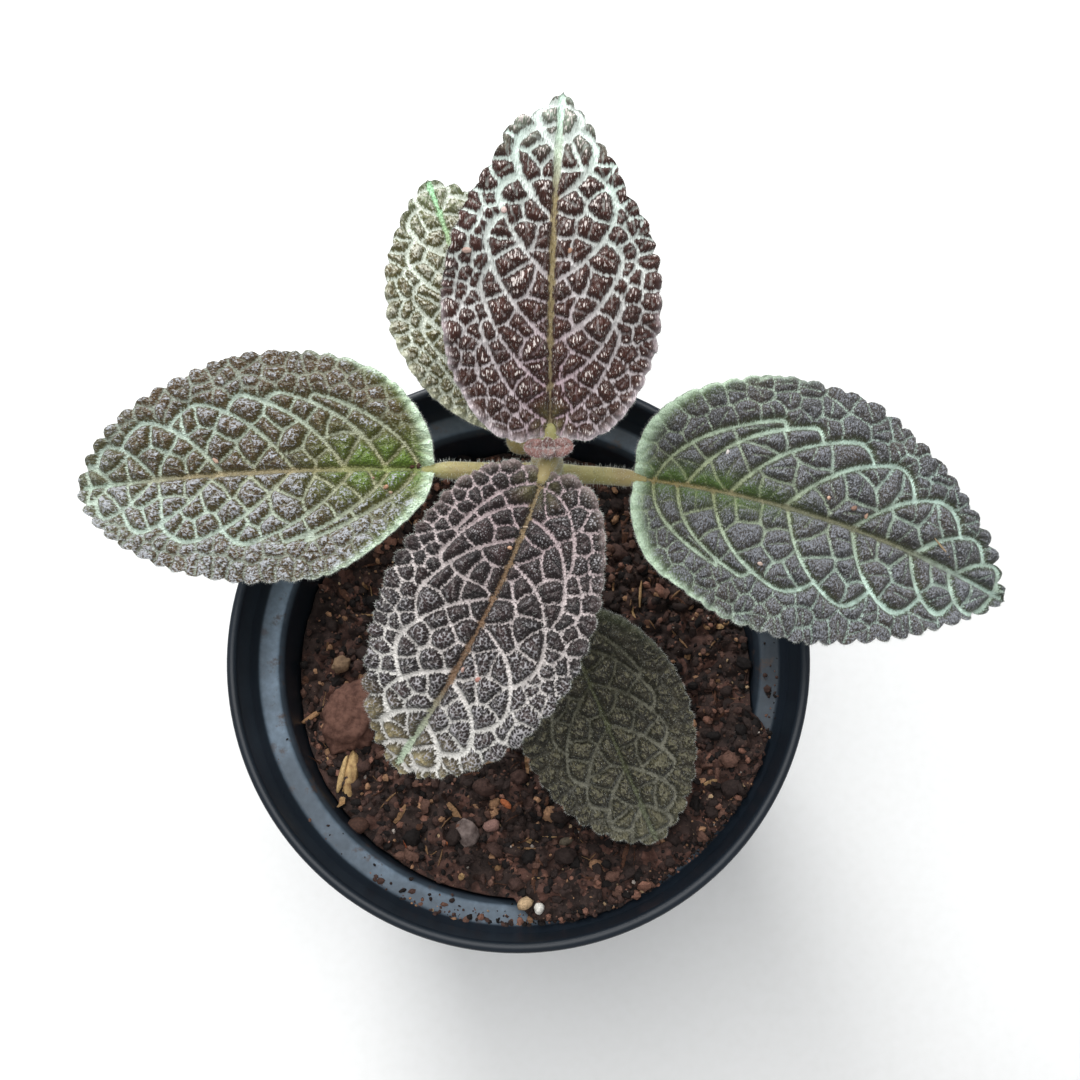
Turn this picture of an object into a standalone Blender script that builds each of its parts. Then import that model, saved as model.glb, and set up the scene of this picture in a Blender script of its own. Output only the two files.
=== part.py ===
# Potted flame violet: a young plant with three pairs of quilted, net-veined leaves on one
# stem, rooted in dark potting soil in a round nursery pot with a stepped collar.
# Metres, +Z up. The origin is under the middle of the pot, on the surface that it stands on.

import math
import random

import bmesh
import bpy
import numpy as np
from mathutils import Vector, noise
from mathutils.geometry import delaunay_2d_cdt

MM = 0.001
GAP = 0.3                     # clearance between pieces that touch, mm

# Pot, mm
POT_HEIGHT = 86.0
RIM_RADIUS = 52.0
WALL = 1.2
COLLAR_WALL = 1.1
BEAD_HEIGHT = 2.2             # rolled edge at the top of the collar
LEDGE_HEIGHT = 76.4           # step inside the collar
LEDGE_INNER_RADIUS = 44.0
LEDGE_OUTER_RADIUS = 48.9
FOOT_RADIUS = 35.2
FOOT_WIDTH = 4.6
FLOOR = 1.3
FOOT_RISE = 1.7               # the ring between foot and centre stands this far off the ground
CENTRE_RADIUS = 12.0
DRAIN_COUNT = 6
DRAIN_RADIUS = 4.0
DRAIN_CIRCLE = 22.0
DRAIN_TURN = 0.46             # share of a gap that the first hole is turned from +X
POT_STEPS = 48

# Soil, mm
SOIL_LEVEL = 69.5
SOIL_TILT = 4.2               # rise from the middle to the high side
SOIL_HIGH_SIDE = -50.0        # degrees from +X
SPILL_FROM, SPILL_TO = -84.0, -20.0   # sector in which soil lies on the ledge, degrees
SPILL_WIDTH = 3.4
SOIL_SPACING = 3.5
SOIL_LUMP = 1.1
SOIL_SIDES = 84

# Stem and leaf stalks, mm
STEM_FOOT = (2.0, 14.0)
STEM_DEPTH = 12.0
STEM_RADIUS = 2.7
LOW_NODE = (4.3, 22.6, 103.0)
MIDDLE_NODE = (4.8, 23.3, 117.5)
TOP_NODE = (4.9, 22.3, 126.8)
STEM_TOP = (5.0, 22.2, 130.7)
STALK_RADIUS = 1.45
STEM_STEP = 3.2
STALK_STEP = 2.2

# Leaf blades, mm
BLADE = 0.7                   # thickness
PUFF = 1.0                    # height of the quilted cells over the veins
RIB = 0.5                     # how far the midrib stands out below
TOOTH_PITCH = 3.1
OUTLINE_STEP = 1.6
VEIN_STEP = 4.0
JOINED = 0.45                 # points of the blade's mesh closer than this become one

# Net of veins, mm
LOOP_REACH = 0.68             # side veins arch forward at this share of the half width
ARCH_ANGLE = 14.0             # and then run at this angle to the midrib, degrees
ARCH_JOINT = 0.8              # share of the next side vein at which an arch joins it
SMALL_CELLS = 0.72            # width of the cells outside the arches to those inside
CELL_GRID = 0.4               # step of the grid on which cells are measured
CELL_TRIES = 6                # places tried for each new cell, of which the emptiest is taken
CELL_ROUNDS = 2               # rounds of evening out
MIRROR_REACH = 1.7            # cells this close to a side, in cell widths, are mirrored over it
WALL_SHORTEST = 0.25
WALL_LONGEST = 2.6            # in cell widths
WALL_SWAY = 0.10
FAR = 300.0                   # corners beyond any leaf, which close the cells at its outside
GROOVES = ((0, 1.0, 1.2), (1, 0.95, 0.95), (2, 0.85, 0.75), (3, 0.6, 0.65))  # order, depth, width

# Base is where the midrib starts, heading is measured from +X towards +Y, and turn is how
# far it swings on the way to the tip. Pitch is the slope at base and tip. Fold lifts the two
# halves like a book and curl bends them down again. Widest is the place of the full width.
# Veins are the places along the midrib where the side veins leave it, and open is their
# angle to it, in degrees. Cell is the usual width of a cell of the net. Bumps widen the
# outline: place, share and reach along the midrib.
LEAVES = {
    "leaf_left": dict(
        base=(-12.6, 23.1, 120.0), heading=179.9, turn=3.9, pitch=(4.0, -14.0),
        length=57.3, width=37.2, widest=0.41, base_power=0.57, tip_power=0.66, lobe=1.8,
        fold=12.0, curl=-20.0, tooth=0.32, wave=0.5, seed=3, cell=4.0,
        bumps_left=((0.4, -0.04, 0.4), (0.08, -0.14, 0.1)),
        bumps_right=((0.4, 0.04, 0.4), (0.1, 0.05, 0.1)), open_left=50.0, open_right=52.0,
        veins_left=(0.05, 0.12, 0.22, 0.39, 0.60, 0.78, 0.91),
        veins_right=(0.04, 0.13, 0.24, 0.38, 0.58, 0.77, 0.90)),
    "leaf_right": dict(
        base=(18.5, 22.0, 119.0), heading=-7.4, turn=-20.2, pitch=(4.0, -16.0),
        length=62.5, width=40.5, widest=0.41, base_power=0.47, tip_power=0.94, lobe=2.4,
        fold=12.0, curl=-22.0, tooth=0.45, wave=0.6, seed=5, cell=4.6,
        bumps_left=((0.80, -0.07, 0.16), (0.42, 0.025, 0.25)), bumps_right=((0.06, 0.08, 0.08),),
        open_left=52.0, open_right=72.0,
        veins_left=(0.05, 0.13, 0.24, 0.38, 0.56, 0.73, 0.85),
        veins_right=(0.05, 0.11, 0.20, 0.39, 0.56, 0.72, 0.83)),
    "leaf_back": dict(
        base=(5.4, 24.9, 131.6), heading=91.2, turn=-6.6, pitch=(34.0, 2.0),
        length=50.2, width=31.4, widest=0.38, base_power=0.45, tip_power=1.02, lobe=3.5,
        fold=10.0, curl=-20.0, tooth=0.28, wave=0.9, seed=7, cell=3.6,
        bumps_left=((0.88, 0.26, 0.05),), bumps_right=((0.71, -0.10, 0.05), (0.85, -0.14, 0.09)),
        open_left=46.0, open_right=58.0,
        veins_left=(0.04, 0.14, 0.275, 0.45, 0.62, 0.82),
        veins_right=(0.05, 0.15, 0.27, 0.44, 0.68, 0.84)),
    "leaf_front": dict(
        base=(4.5, 19.5, 131.0), heading=-106.0, turn=-24.8, pitch=(14.0, -42.0),
        length=51.3, width=30.7, widest=0.46, base_power=0.41, tip_power=0.72, lobe=2.2,
        fold=8.0, curl=-26.0, tooth=0.30, wave=0.4, seed=11, cell=3.5,
        bumps_left=((0.18, -0.05, 0.2),), bumps_right=(), open_left=70.0, open_right=58.0,
        veins_left=(0.05, 0.15, 0.29, 0.48, 0.66, 0.81, 0.92),
        veins_right=(0.04, 0.11, 0.22, 0.40, 0.63, 0.77, 0.89)),
    "leaf_low_back": dict(
        base=(-0.8, 32.8, 110.0), heading=108.6, turn=2.0, pitch=(30.0, 4.0),
        length=43.1, width=27.2, widest=0.48, base_power=0.70, tip_power=0.90, lobe=1.2,
        fold=10.0, curl=-18.0, tooth=0.30, wave=0.6, seed=13, cell=3.4,
        bumps_left=(), bumps_right=(), open_left=56.0, open_right=52.0,
        veins_left=(0.06, 0.17, 0.32, 0.50, 0.68, 0.85),
        veins_right=(0.06, 0.18, 0.33, 0.50, 0.69, 0.86)),
    "leaf_low_front": dict(
        base=(7.3, 5.0, 93.0), heading=-67.2, turn=1.9, pitch=(-6.0, -22.0),
        length=43.4, width=29.2, widest=0.47, base_power=0.55, tip_power=0.74, lobe=1.8,
        fold=8.0, curl=-20.0, tooth=0.34, wave=0.5, seed=17, cell=4.0,
        bumps_left=(), bumps_right=(), open_left=54.0, open_right=54.0,
        veins_left=(0.05, 0.15, 0.30, 0.48, 0.66, 0.83),
        veins_right=(0.05, 0.16, 0.31, 0.49, 0.67, 0.84)),
}

# Points that each stalk passes between its node and its blade, mm
STALK_BENDS = {
    "leaf_left": (),
    "leaf_right": (),
    "leaf_back": (),
    "leaf_front": (),
    "leaf_low_back": ((5.2, 28.6, 105.0), (3.4, 31.2, 107.6)),
    "leaf_low_front": ((5.6, 16.0, 98.6),),
}
STALK_NODES = {
    "leaf_left": MIDDLE_NODE, "leaf_right": MIDDLE_NODE, "leaf_back": TOP_NODE,
    "leaf_front": TOP_NODE, "leaf_low_back": LOW_NODE, "leaf_low_front": LOW_NODE,
}

# The unopened pair at the shoot's tip, mm: heading of each small leaf, and their shape
SHOOT_BASE = (5.1, 22.2, 133.0)
SHOOT_HEADINGS = (8.0, 176.0)
SHOOT_LEAF = dict(
    turn=0.0, pitch=(34.0, 4.0), length=3.9, width=2.9, widest=0.52, base_power=0.5,
    tip_power=0.5, lobe=0.0, fold=16.0, curl=-20.0, tooth=0.0, wave=0.0, seed=1,
    bumps_left=(), bumps_right=(), veins_left=(), veins_right=())
SHOOT_CORE_RADIUS = 1.15

# Loose pieces on the soil: place, size along its long side, across and up, and its turn
LOOSE_PIECES = {
    "bark_lump": dict(place=(-31.3, -10.5, 68.5), size=(13.5, 10.5, 5.2), turn=70.0, seed=2,
                      color="#5b332d"),
    "wood_chip": dict(place=(-31.4, -21.6, 68.5), size=(8.6, 2.8, 2.0), turn=82.0, seed=4,
                      color="#a9865c"),
    "grey_pebble": dict(place=(-9.5, -32.0, 71.3), size=(5.4, 4.2, 2.8), turn=110.0, seed=6,
                        color="#75645f"),
    "tan_pebble": dict(place=(-34.0, -0.7, 68.5), size=(3.6, 3.0, 2.2), turn=40.0, seed=8,
                       color="#86705f"),
}


def linear(channel):
    return channel / 12.92 if channel <= 0.04045 else ((channel + 0.055) / 1.055) ** 2.4


def material(name, color, roughness):
    mat = bpy.data.materials.new(name)
    mat.use_nodes = True
    shader = mat.node_tree.nodes["Principled BSDF"]
    rgb = [linear(int(color[i:i + 2], 16) / 255) for i in (1, 3, 5)]
    shader.inputs["Base Color"].default_value = (*rgb, 1.0)
    shader.inputs["Roughness"].default_value = roughness
    shader.inputs["Metallic"].default_value = 0.0
    mat.diffuse_color = (*rgb, 1.0)
    return mat


def add_object(name, mesh, collection, mat=None):
    obj = bpy.data.objects.new(name, mesh)
    collection.objects.link(obj)
    if mat:
        mesh.materials.append(mat)
    return obj


def smooth_shading(mesh, angle=35.0):
    mesh.shade_smooth()
    mesh.set_sharp_from_angle(angle=math.radians(angle))


def boolean(obj, tool, operation):
    mod = obj.modifiers.new(operation.title(), "BOOLEAN")
    mod.operation = operation
    mod.solver = "EXACT"
    if isinstance(tool, bpy.types.Collection):
        mod.operand_type = "COLLECTION"
        mod.collection = tool
    else:
        mod.object = tool
    return mod


# A cutter stays out of the model and is drawn as a wire.
def hide_cutter(obj):
    obj.hide_render = True
    obj.display_type = "WIRE"


# Smooth steps from 0 to 1 between two values.
def ease(value, low, high):
    t = np.clip((value - low) / (high - low), 0.0, 1.0)
    return t * t * (3.0 - 2.0 * t)


# The pot's half section: up the inside from the middle of its floor, over the rim, down the
# outside and back to the middle of the foot.
def pot_profile():
    floor_top = FOOT_RISE + FLOOR
    inner_foot = FOOT_RADIUS - WALL
    body_top = LEDGE_INNER_RADIUS + WALL
    inside = [
        (0.0, floor_top), (inner_foot - 0.8, floor_top), (inner_foot, floor_top + 0.8),
        (LEDGE_INNER_RADIUS - 0.5, LEDGE_HEIGHT - 1.8), (LEDGE_INNER_RADIUS - 0.1, LEDGE_HEIGHT - 0.5),
        (LEDGE_INNER_RADIUS + 0.6, LEDGE_HEIGHT), (LEDGE_OUTER_RADIUS - 1.4, LEDGE_HEIGHT + 0.4),
        (LEDGE_OUTER_RADIUS - 0.2, LEDGE_HEIGHT + 1.2), (LEDGE_OUTER_RADIUS + 0.3, LEDGE_HEIGHT + 2.8),
        (RIM_RADIUS - 1.9, POT_HEIGHT - 0.7), (RIM_RADIUS - 1.5, POT_HEIGHT - 0.1),
    ]
    collar_foot = LEDGE_OUTER_RADIUS + COLLAR_WALL
    outside = [
        (RIM_RADIUS - 0.8, POT_HEIGHT), (RIM_RADIUS - 0.15, POT_HEIGHT - 0.35),
        (RIM_RADIUS, POT_HEIGHT - 1.0), (RIM_RADIUS - 0.1, POT_HEIGHT - BEAD_HEIGHT),
        (RIM_RADIUS - 0.9, POT_HEIGHT - BEAD_HEIGHT - 0.6),
        (collar_foot + 0.1, LEDGE_HEIGHT - 0.6), (collar_foot - 0.5, LEDGE_HEIGHT - 1.2),
        (body_top + 0.6, LEDGE_HEIGHT - 1.4), (body_top, LEDGE_HEIGHT - 2.0),
        (FOOT_RADIUS + 0.3, 0.9), (FOOT_RADIUS - 0.3, 0.0), (FOOT_RADIUS - FOOT_WIDTH, 0.0),
        (FOOT_RADIUS - FOOT_WIDTH - 0.7, FOOT_RISE), (CENTRE_RADIUS + 0.8, FOOT_RISE),
        (CENTRE_RADIUS, 0.0), (0.0, 0.0),
    ]
    return inside + outside


def make_pot(collection, cutters, mat):
    mesh = bpy.data.meshes.new("pot")
    points = pot_profile()
    edges = [(i, i + 1) for i in range(len(points) - 1)]
    mesh.from_pydata([(r * MM, 0.0, z * MM) for r, z in points], edges, [])
    pot = add_object("pot", mesh, collection, mat)
    turn = pot.modifiers.new("Turn", "SCREW")
    turn.steps = turn.render_steps = POT_STEPS
    turn.use_merge_vertices = True
    turn.merge_threshold = 0.00001
    turn.use_smooth_shade = True
    for i in range(DRAIN_COUNT):
        angle = 2 * math.pi * (i + DRAIN_TURN) / DRAIN_COUNT
        drill = bpy.data.meshes.new(f"drain_{i}")
        bm = bmesh.new()
        bmesh.ops.create_cone(bm, cap_ends=True, segments=12, radius1=DRAIN_RADIUS * MM,
                              radius2=DRAIN_RADIUS * MM, depth=8.0 * MM)
        bm.to_mesh(drill)
        bm.free()
        cutter = add_object(f"drain_cutter_{i}", drill, cutters)
        cutter.location = (DRAIN_CIRCLE * math.cos(angle) * MM, DRAIN_CIRCLE * math.sin(angle) * MM,
                           FOOT_RISE * MM)
        hide_cutter(cutter)
        boolean(pot, cutter, "DIFFERENCE")
    return pot


# Radius of the pot's inner wall at a height below the ledge.
def inner_radius(z):
    low_r, low_z = FOOT_RADIUS - WALL, FOOT_RISE + FLOOR + 0.8
    high_r, high_z = LEDGE_INNER_RADIUS - 0.5, LEDGE_HEIGHT - 1.8
    return low_r + (high_r - low_r) * (z - low_z) / (high_z - low_z)


# How much of the ledge the soil covers in a direction, 0 to 1.
def spill(angle):
    deg = (np.degrees(angle) + 180.0) % 360.0 - 180.0
    return ease(deg, SPILL_FROM - 14.0, SPILL_FROM) * (1.0 - ease(deg, SPILL_TO, SPILL_TO + 14.0))


# Height of the soil, level under each loose piece and round the stem.
def soil_height(x, y, rough=1.0):
    r = math.hypot(x, y)
    angle = math.atan2(y, x)
    toward_high = math.cos(angle - math.radians(SOIL_HIGH_SIDE))
    edge = inner_radius(LEDGE_HEIGHT)
    z = SOIL_LEVEL + SOIL_TILT * toward_high * r / edge
    bank = max(0.0, math.cos(angle - math.radians(SOIL_HIGH_SIDE - 25.0))) ** 0.7
    z += 3.0 * bank * math.exp(-((edge - min(r, edge)) / 7.0) ** 2)
    lumps = SOIL_LUMP * noise.noise(Vector((x / 5.0, y / 5.0, 3.1)))
    lumps += 0.6 * SOIL_LUMP * noise.noise(Vector((x / 2.3, y / 2.3, 8.7)))
    z += lumps * rough
    on_ledge = float(ease(r, edge - 5.0, edge - 1.0)) * float(ease(spill(angle), 0.0, 0.5))
    z = z * (1.0 - on_ledge) + (LEDGE_HEIGHT + 1.7 + 0.4 * lumps * rough) * on_ledge
    for place, reach, level in level_spots():
        share = 1.0 - float(ease(math.dist((x, y), place), reach, reach + 2.5))
        z = z * (1.0 - share) + level * share
    return z


def smooth_level(x, y):
    toward_high = math.cos(math.atan2(y, x) - math.radians(SOIL_HIGH_SIDE))
    return SOIL_LEVEL + SOIL_TILT * toward_high * math.hypot(x, y) / inner_radius(LEDGE_HEIGHT)


def level_spots():
    spots = [(STEM_FOOT, STEM_RADIUS + 2.2, smooth_level(*STEM_FOOT))]
    for piece in LOOSE_PIECES.values():
        x, y, level = piece["place"]
        spots.append(((x, y), piece["size"][0] / 2 + 1.5, level))
    return spots


# Points of a triangle grid inside a radius, each moved a little at random.
def scattered_points(radius, step, rng):
    points = []
    rows = int(radius / (step * 0.866)) + 1
    for j in range(-rows, rows + 1):
        for i in range(-rows - 1, rows + 2):
            x = (i + 0.5 * (j % 2)) * step + rng.uniform(-0.22, 0.22) * step
            y = j * step * 0.866 + rng.uniform(-0.22, 0.22) * step
            if math.hypot(x, y) < radius:
                points.append((x, y))
    return points


# Radius of the soil against the wall, which leans out, at a height.
def wall_radius(z):
    return inner_radius(min(z, LEDGE_HEIGHT - 2.0)) - GAP


# Where the soil ends in a direction: at the wall, or out on the ledge.
def soil_edge(angle):
    radius = wall_radius(soil_height(42.5 * math.cos(angle), 42.5 * math.sin(angle)) - 1.0)
    over = float(ease(spill(angle), 0.55, 1.0))
    if over < 0.02:
        return radius, False
    return radius + 1.0 + SPILL_WIDTH * over * (1.0 + 0.12 * math.sin(9.0 * angle)), True


def make_soil(collection, cutters, mat):
    rng = random.Random(21)
    angles = [2 * math.pi * i / SOIL_SIDES for i in range(SOIL_SIDES)]
    edges = [soil_edge(angle) for angle in angles]
    points = [(r * math.cos(a), r * math.sin(a)) for a, (r, _) in zip(angles, edges)]
    wall_top = wall_radius(LEDGE_HEIGHT)
    points += [(wall_top * math.cos(a), wall_top * math.sin(a))
               for a, (_, spilled) in zip(angles, edges) if spilled]
    points += scattered_points(wall_top - 2.2, SOIL_SPACING, rng)
    loop = list(range(SOIL_SIDES))
    verts, _, faces, _, _, _ = delaunay_2d_cdt([Vector(p) for p in points], [], [loop], 1, 0.01)

    bm = bmesh.new()
    top = [bm.verts.new((v.x * MM, v.y * MM, soil_height(v.x, v.y) * MM)) for v in verts]
    for face in faces:
        bm.faces.new([top[i] for i in face])
    border = {v for e in bm.edges if e.is_boundary for v in e.verts}
    ordered = sorted(border, key=lambda v: math.atan2(v.co.y, v.co.x))
    under = LEDGE_HEIGHT + 0.4 + GAP
    floor = FOOT_RISE + FLOOR + GAP
    base_radius = inner_radius(floor + 0.8) - 3 * GAP
    rings = [ordered, [], [], [], []]
    for vert in ordered:
        angle = math.atan2(vert.co.y, vert.co.x)
        radius, height = math.hypot(vert.co.x, vert.co.y) / MM, vert.co.z / MM
        if soil_edge(angle)[1]:
            steps = [(radius - 0.3, under), (wall_top - 0.2, under)]
        else:
            steps = [(wall_radius(height - 1.0), height - 1.0), (wall_radius(height - 2.0), height - 2.0)]
        steps += [(wall_radius(60.0), 60.0), (base_radius, floor)]
        for ring, (radius, height) in zip(rings[1:], steps):
            ring.append(bm.verts.new((radius * math.cos(angle) * MM, radius * math.sin(angle) * MM,
                                      height * MM)))
    for upper, lower in zip(rings, rings[1:]):
        for i in range(SOIL_SIDES):
            j = (i + 1) % SOIL_SIDES
            bm.faces.new([upper[i], lower[i], lower[j]])
            bm.faces.new([upper[i], lower[j], upper[j]])
    bm.faces.new(list(reversed(rings[-1])))
    mesh = bpy.data.meshes.new("soil")
    bm.to_mesh(mesh)
    bm.free()
    soil = add_object("soil", mesh, collection, mat)

    level = smooth_level(*STEM_FOOT)
    bore = bpy.data.meshes.new("stem_hole")
    bm = bmesh.new()
    bmesh.ops.create_cone(bm, cap_ends=True, segments=16, radius1=(STEM_RADIUS + GAP + 0.1) * MM,
                          radius2=(STEM_RADIUS + GAP + 0.1) * MM, depth=2 * STEM_DEPTH * MM)
    bm.to_mesh(bore)
    bm.free()
    cutter = add_object("stem_hole_cutter", bore, cutters)
    cutter.location = (STEM_FOOT[0] * MM, STEM_FOOT[1] * MM, level * MM)
    hide_cutter(cutter)
    boolean(soil, cutter, "DIFFERENCE")
    return soil


# A pebble, chip or clump: a cut sphere with a flat underside and knocked corners.
def make_loose_piece(name, piece, collection, mat):
    rng = random.Random(piece["seed"])
    bm = bmesh.new()
    bmesh.ops.create_icosphere(bm, subdivisions=2, radius=0.5)
    long_side, across, up = piece["size"]
    for vert in bm.verts:
        bump = 1.0 + 0.20 * noise.noise(vert.co * 3.1 + Vector((piece["seed"], 0.0, 0.0)))
        vert.co *= bump + rng.uniform(-0.02, 0.02)
        vert.co.z = max(vert.co.z, -0.22)
        vert.co = Vector((vert.co.x * long_side, vert.co.y * across, (vert.co.z + 0.22) * up * 1.35))
    turn = math.radians(piece["turn"])
    mesh = bpy.data.meshes.new(name)
    bm.to_mesh(mesh)
    bm.free()
    obj = add_object(name, mesh, collection, mat)
    for vert in mesh.vertices:
        vert.co *= MM
    x, y, level = piece["place"]
    obj.location = (x * MM, y * MM, (level + GAP) * MM)
    obj.rotation_euler = (0.0, 0.0, turn)
    return obj


# The midrib: points and headings at even steps from base to tip.
def midrib(leaf, steps=80):
    share = np.linspace(0.0, 1.0, steps)
    heading = np.radians(leaf["heading"] + leaf["turn"] * share)
    start, end = leaf["pitch"]
    pitch = np.radians(start + (end - start) * share)
    ahead = np.stack([np.cos(heading) * np.cos(pitch), np.sin(heading) * np.cos(pitch),
                      np.sin(pitch)], -1)
    step = leaf["length"] / (steps - 1)
    moved = np.cumsum((ahead[:-1] + ahead[1:]) / 2 * step, 0)
    return share * leaf["length"], np.vstack([np.zeros(3), moved]) + leaf["base"], ahead


# Point of the blade s along the midrib and x to its left, both in mm on the flat leaf.
def blade_point(leaf, s, x):
    s = np.asarray(s, float)
    x = np.asarray(x, float)
    along, points, ahead = midrib(leaf)
    inside = np.clip(s, 0.0, leaf["length"])
    point = np.stack([np.interp(inside, along, points[:, k]) for k in range(3)], -1)
    tangent = np.stack([np.interp(inside, along, ahead[:, k]) for k in range(3)], -1)
    tangent /= np.linalg.norm(tangent, axis=-1, keepdims=True)
    point = point + tangent * (s - inside)[..., None]
    side = np.cross([0.0, 0.0, 1.0], tangent)
    side /= np.linalg.norm(side, axis=-1, keepdims=True)
    up = np.cross(tangent, side)
    half = leaf["width"] / 2
    fold = math.radians(leaf["fold"])
    curl = math.radians(leaf["curl"]) / half
    out = np.abs(x)
    across = (np.sin(fold + curl * out) - math.sin(fold)) / curl
    rise = (math.cos(fold) - np.cos(fold + curl * out)) / curl
    rise = rise + leaf["wave"] * (out / half) ** 2 * np.sin(
        s * (0.42 + 0.06 * np.sign(x)) + leaf["seed"])
    return point + side * (np.sign(x) * across)[..., None] + up * rise[..., None]


def blade_normal(leaf, s, x):
    step = 0.4
    ahead = blade_point(leaf, s + step, x) - blade_point(leaf, s - step, x)
    left = blade_point(leaf, s, x + step) - blade_point(leaf, s, x - step)
    normal = np.cross(ahead, left)
    return normal / np.linalg.norm(normal, axis=-1, keepdims=True)


# Half the width of the leaf at a share of its length, on its left (+1) or right (-1).
def half_width(leaf, share, side):
    t = np.clip(share, 0.0, 1.0)
    widest = leaf["widest"]
    toward = np.where(t < widest, (widest - t) / widest, (t - widest) / (1.0 - widest))
    power = np.where(t < widest, leaf["base_power"], leaf["tip_power"])
    width = leaf["width"] / 2 * np.maximum(1.0 - toward * toward, 0.0) ** power
    for place, height, reach in leaf["bumps_left" if side > 0 else "bumps_right"]:
        width = width * (1.0 + height * np.exp(-((t - place) / reach) ** 2))
    return width


# Place on the leaf's edge: share of the length, moved back where the base is lobed.
def edge_point(leaf, share, side):
    width = half_width(leaf, share, side)
    half = leaf["width"] / 2
    lobe = leaf["lobe"] * width / half * (1.0 - share) ** 6 * ease(width, 1.6, 4.5)
    return share * leaf["length"] - lobe, side * width


# The scalloped outline of the flat leaf, from its base round the tip and back.
def blade_outline(leaf, step):
    loop = []
    for side in (1, -1):
        share = 0.5 - 0.5 * np.cos(np.linspace(0.0, math.pi, 400))
        s, x = edge_point(leaf, share, side)
        length = np.concatenate([[0.0], np.cumsum(np.hypot(np.diff(s), np.diff(x)))])
        teeth = max(1, round(length[-1] / TOOTH_PITCH))
        per_tooth = max(1, round(length[-1] / teeth / step))
        even = np.linspace(0.0, length[-1], teeth * per_tooth + 1)
        s_even, x_even = np.interp(even, length, s), np.interp(even, length, x)
        ds, dx = np.gradient(s_even), np.gradient(x_even)
        size = np.hypot(ds, dx)
        phase = (even / length[-1] * teeth) % 1.0
        scallop = np.sin(math.pi * phase) ** 0.8 - 0.5
        grown = ease(even, 3.0, 0.7 * length[-1]) * ease(length[-1] - even, 0.5, 3.0)
        moved = 2.0 * leaf["tooth"] * grown * scallop
        s_even = s_even - dx / size * moved * side
        x_even = x_even + ds / size * moved * side
        points = list(zip(s_even, x_even))
        loop.append(points if side > 0 else points[::-1])
    return loop[0][:-1] + loop[1][:-1]


# A side vein: it leaves the midrib at an open angle and bends forward, until it runs along
# the margin at the arches' reach.
def side_vein(leaf, place, side):
    length = leaf["length"]
    opening = leaf["open_left" if side > 0 else "open_right"] + 20.0 * math.exp(-place / 0.15)
    s, x = place * length, 0.0
    points = [(s, 0.0)]
    while True:
        reached = x / (LOOP_REACH * float(half_width(leaf, s / length, side)) + 0.001)
        if reached > 0.95 or s > 0.96 * length:
            return np.array(points)
        angle = math.radians(opening + (ARCH_ANGLE - opening) * reached ** 1.6)
        s += 0.5 * math.cos(angle)
        x += 0.5 * math.sin(angle)
        points.append((s, side * x))


def point_along(line, share):
    steps = np.hypot(*np.diff(line, axis=0).T)
    length = np.concatenate([[0.0], np.cumsum(steps)])
    at = share * length[-1]
    return np.array([np.interp(at, length, line[:, 0]), np.interp(at, length, line[:, 1])])


def line_length(line):
    return float(np.hypot(*np.diff(line, axis=0).T).sum())


# The net of veins on the flat leaf: lines of points, each with its order: 0 the midrib,
# 1 side veins and the arches between them, 2 the cells inside the arches, 3 those outside.
# The raised middles of the larger cells come with it.
def vein_net(leaf):
    rng = random.Random(leaf["seed"])
    middles = []
    length = leaf["length"]
    centre = np.array([(s, 0.0) for s in np.linspace(0.0, 0.985 * length, 24)])
    net = [(0, centre)]
    for side in (1, -1):
        places = leaf["veins_left" if side > 0 else "veins_right"]
        if not places:
            continue
        veins = [side_vein(leaf, place, side) for place in places]
        net += [(1, vein) for vein in veins]
        border = [centre[:1], veins[0]]
        for low, high in zip(veins, veins[1:]):
            joint = ARCH_JOINT + rng.uniform(-0.06, 0.06)
            inner = np.array([point_along(high, joint * i / 24) for i in range(25)])
            outer = np.array([point_along(high, joint + (1.0 - joint) * i / 8) for i in range(1, 9)])
            arch = arch_line(low, inner[-1])
            net.append((1, arch))
            net += cell_lines(np.vstack([low, arch, inner[::-1]]), [low, inner, arch, centre],
                              leaf["cell"], 2, rng, middles)
            border += [arch[1:], outer]
        last = arch_line(veins[-1], np.array([0.965 * length, 0.0]))
        net.append((1, last))
        net += cell_lines(np.vstack([veins[-1], last]), [veins[-1], last, centre],
                          leaf["cell"], 2, rng, middles)
        border = np.vstack([*border, last[1:]])
        rim = np.stack(edge_point(leaf, 0.5 - 0.5 * np.cos(np.linspace(0.0, math.pi, 80)), side), -1)
        net += cell_lines(np.vstack([border, rim[::-1]]), [border, rim, centre],
                          leaf["cell"] * SMALL_CELLS, 3, rng, middles)
    return net, middles


# The arch from the end of one side vein to the next one, or to the tip.
def arch_line(vein, end):
    start, ahead = vein[-1], vein[-1] - vein[-3]
    reach = float(np.hypot(*(end - start)))
    lead = start + ahead / np.hypot(*ahead) * 0.5 * reach
    share = np.linspace(0.0, 1.0, 9)[:, None]
    return (1 - share) ** 2 * start + 2 * share * (1 - share) * lead + share ** 2 * end


def nearest_on(line, point):
    starts, rays = line[:-1], np.diff(line, axis=0)
    share = ((point - starts) * rays).sum(1) / np.maximum((rays * rays).sum(1), 1e-9)
    feet = starts + np.clip(share, 0.0, 1.0)[:, None] * rays
    return feet[np.argmin(((feet - point) ** 2).sum(1))]


def inside_loop(points, loop):
    inside = np.zeros(len(points), bool)
    px, py = points[:, 0], points[:, 1]
    for (x1, y1), (x2, y2) in zip(loop, np.roll(loop, -1, axis=0)):
        if y1 != y2:
            inside ^= ((y1 > py) != (y2 > py)) & (px < (x2 - x1) * (py - y1) / (y2 - y1) + x1)
    return inside


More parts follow.
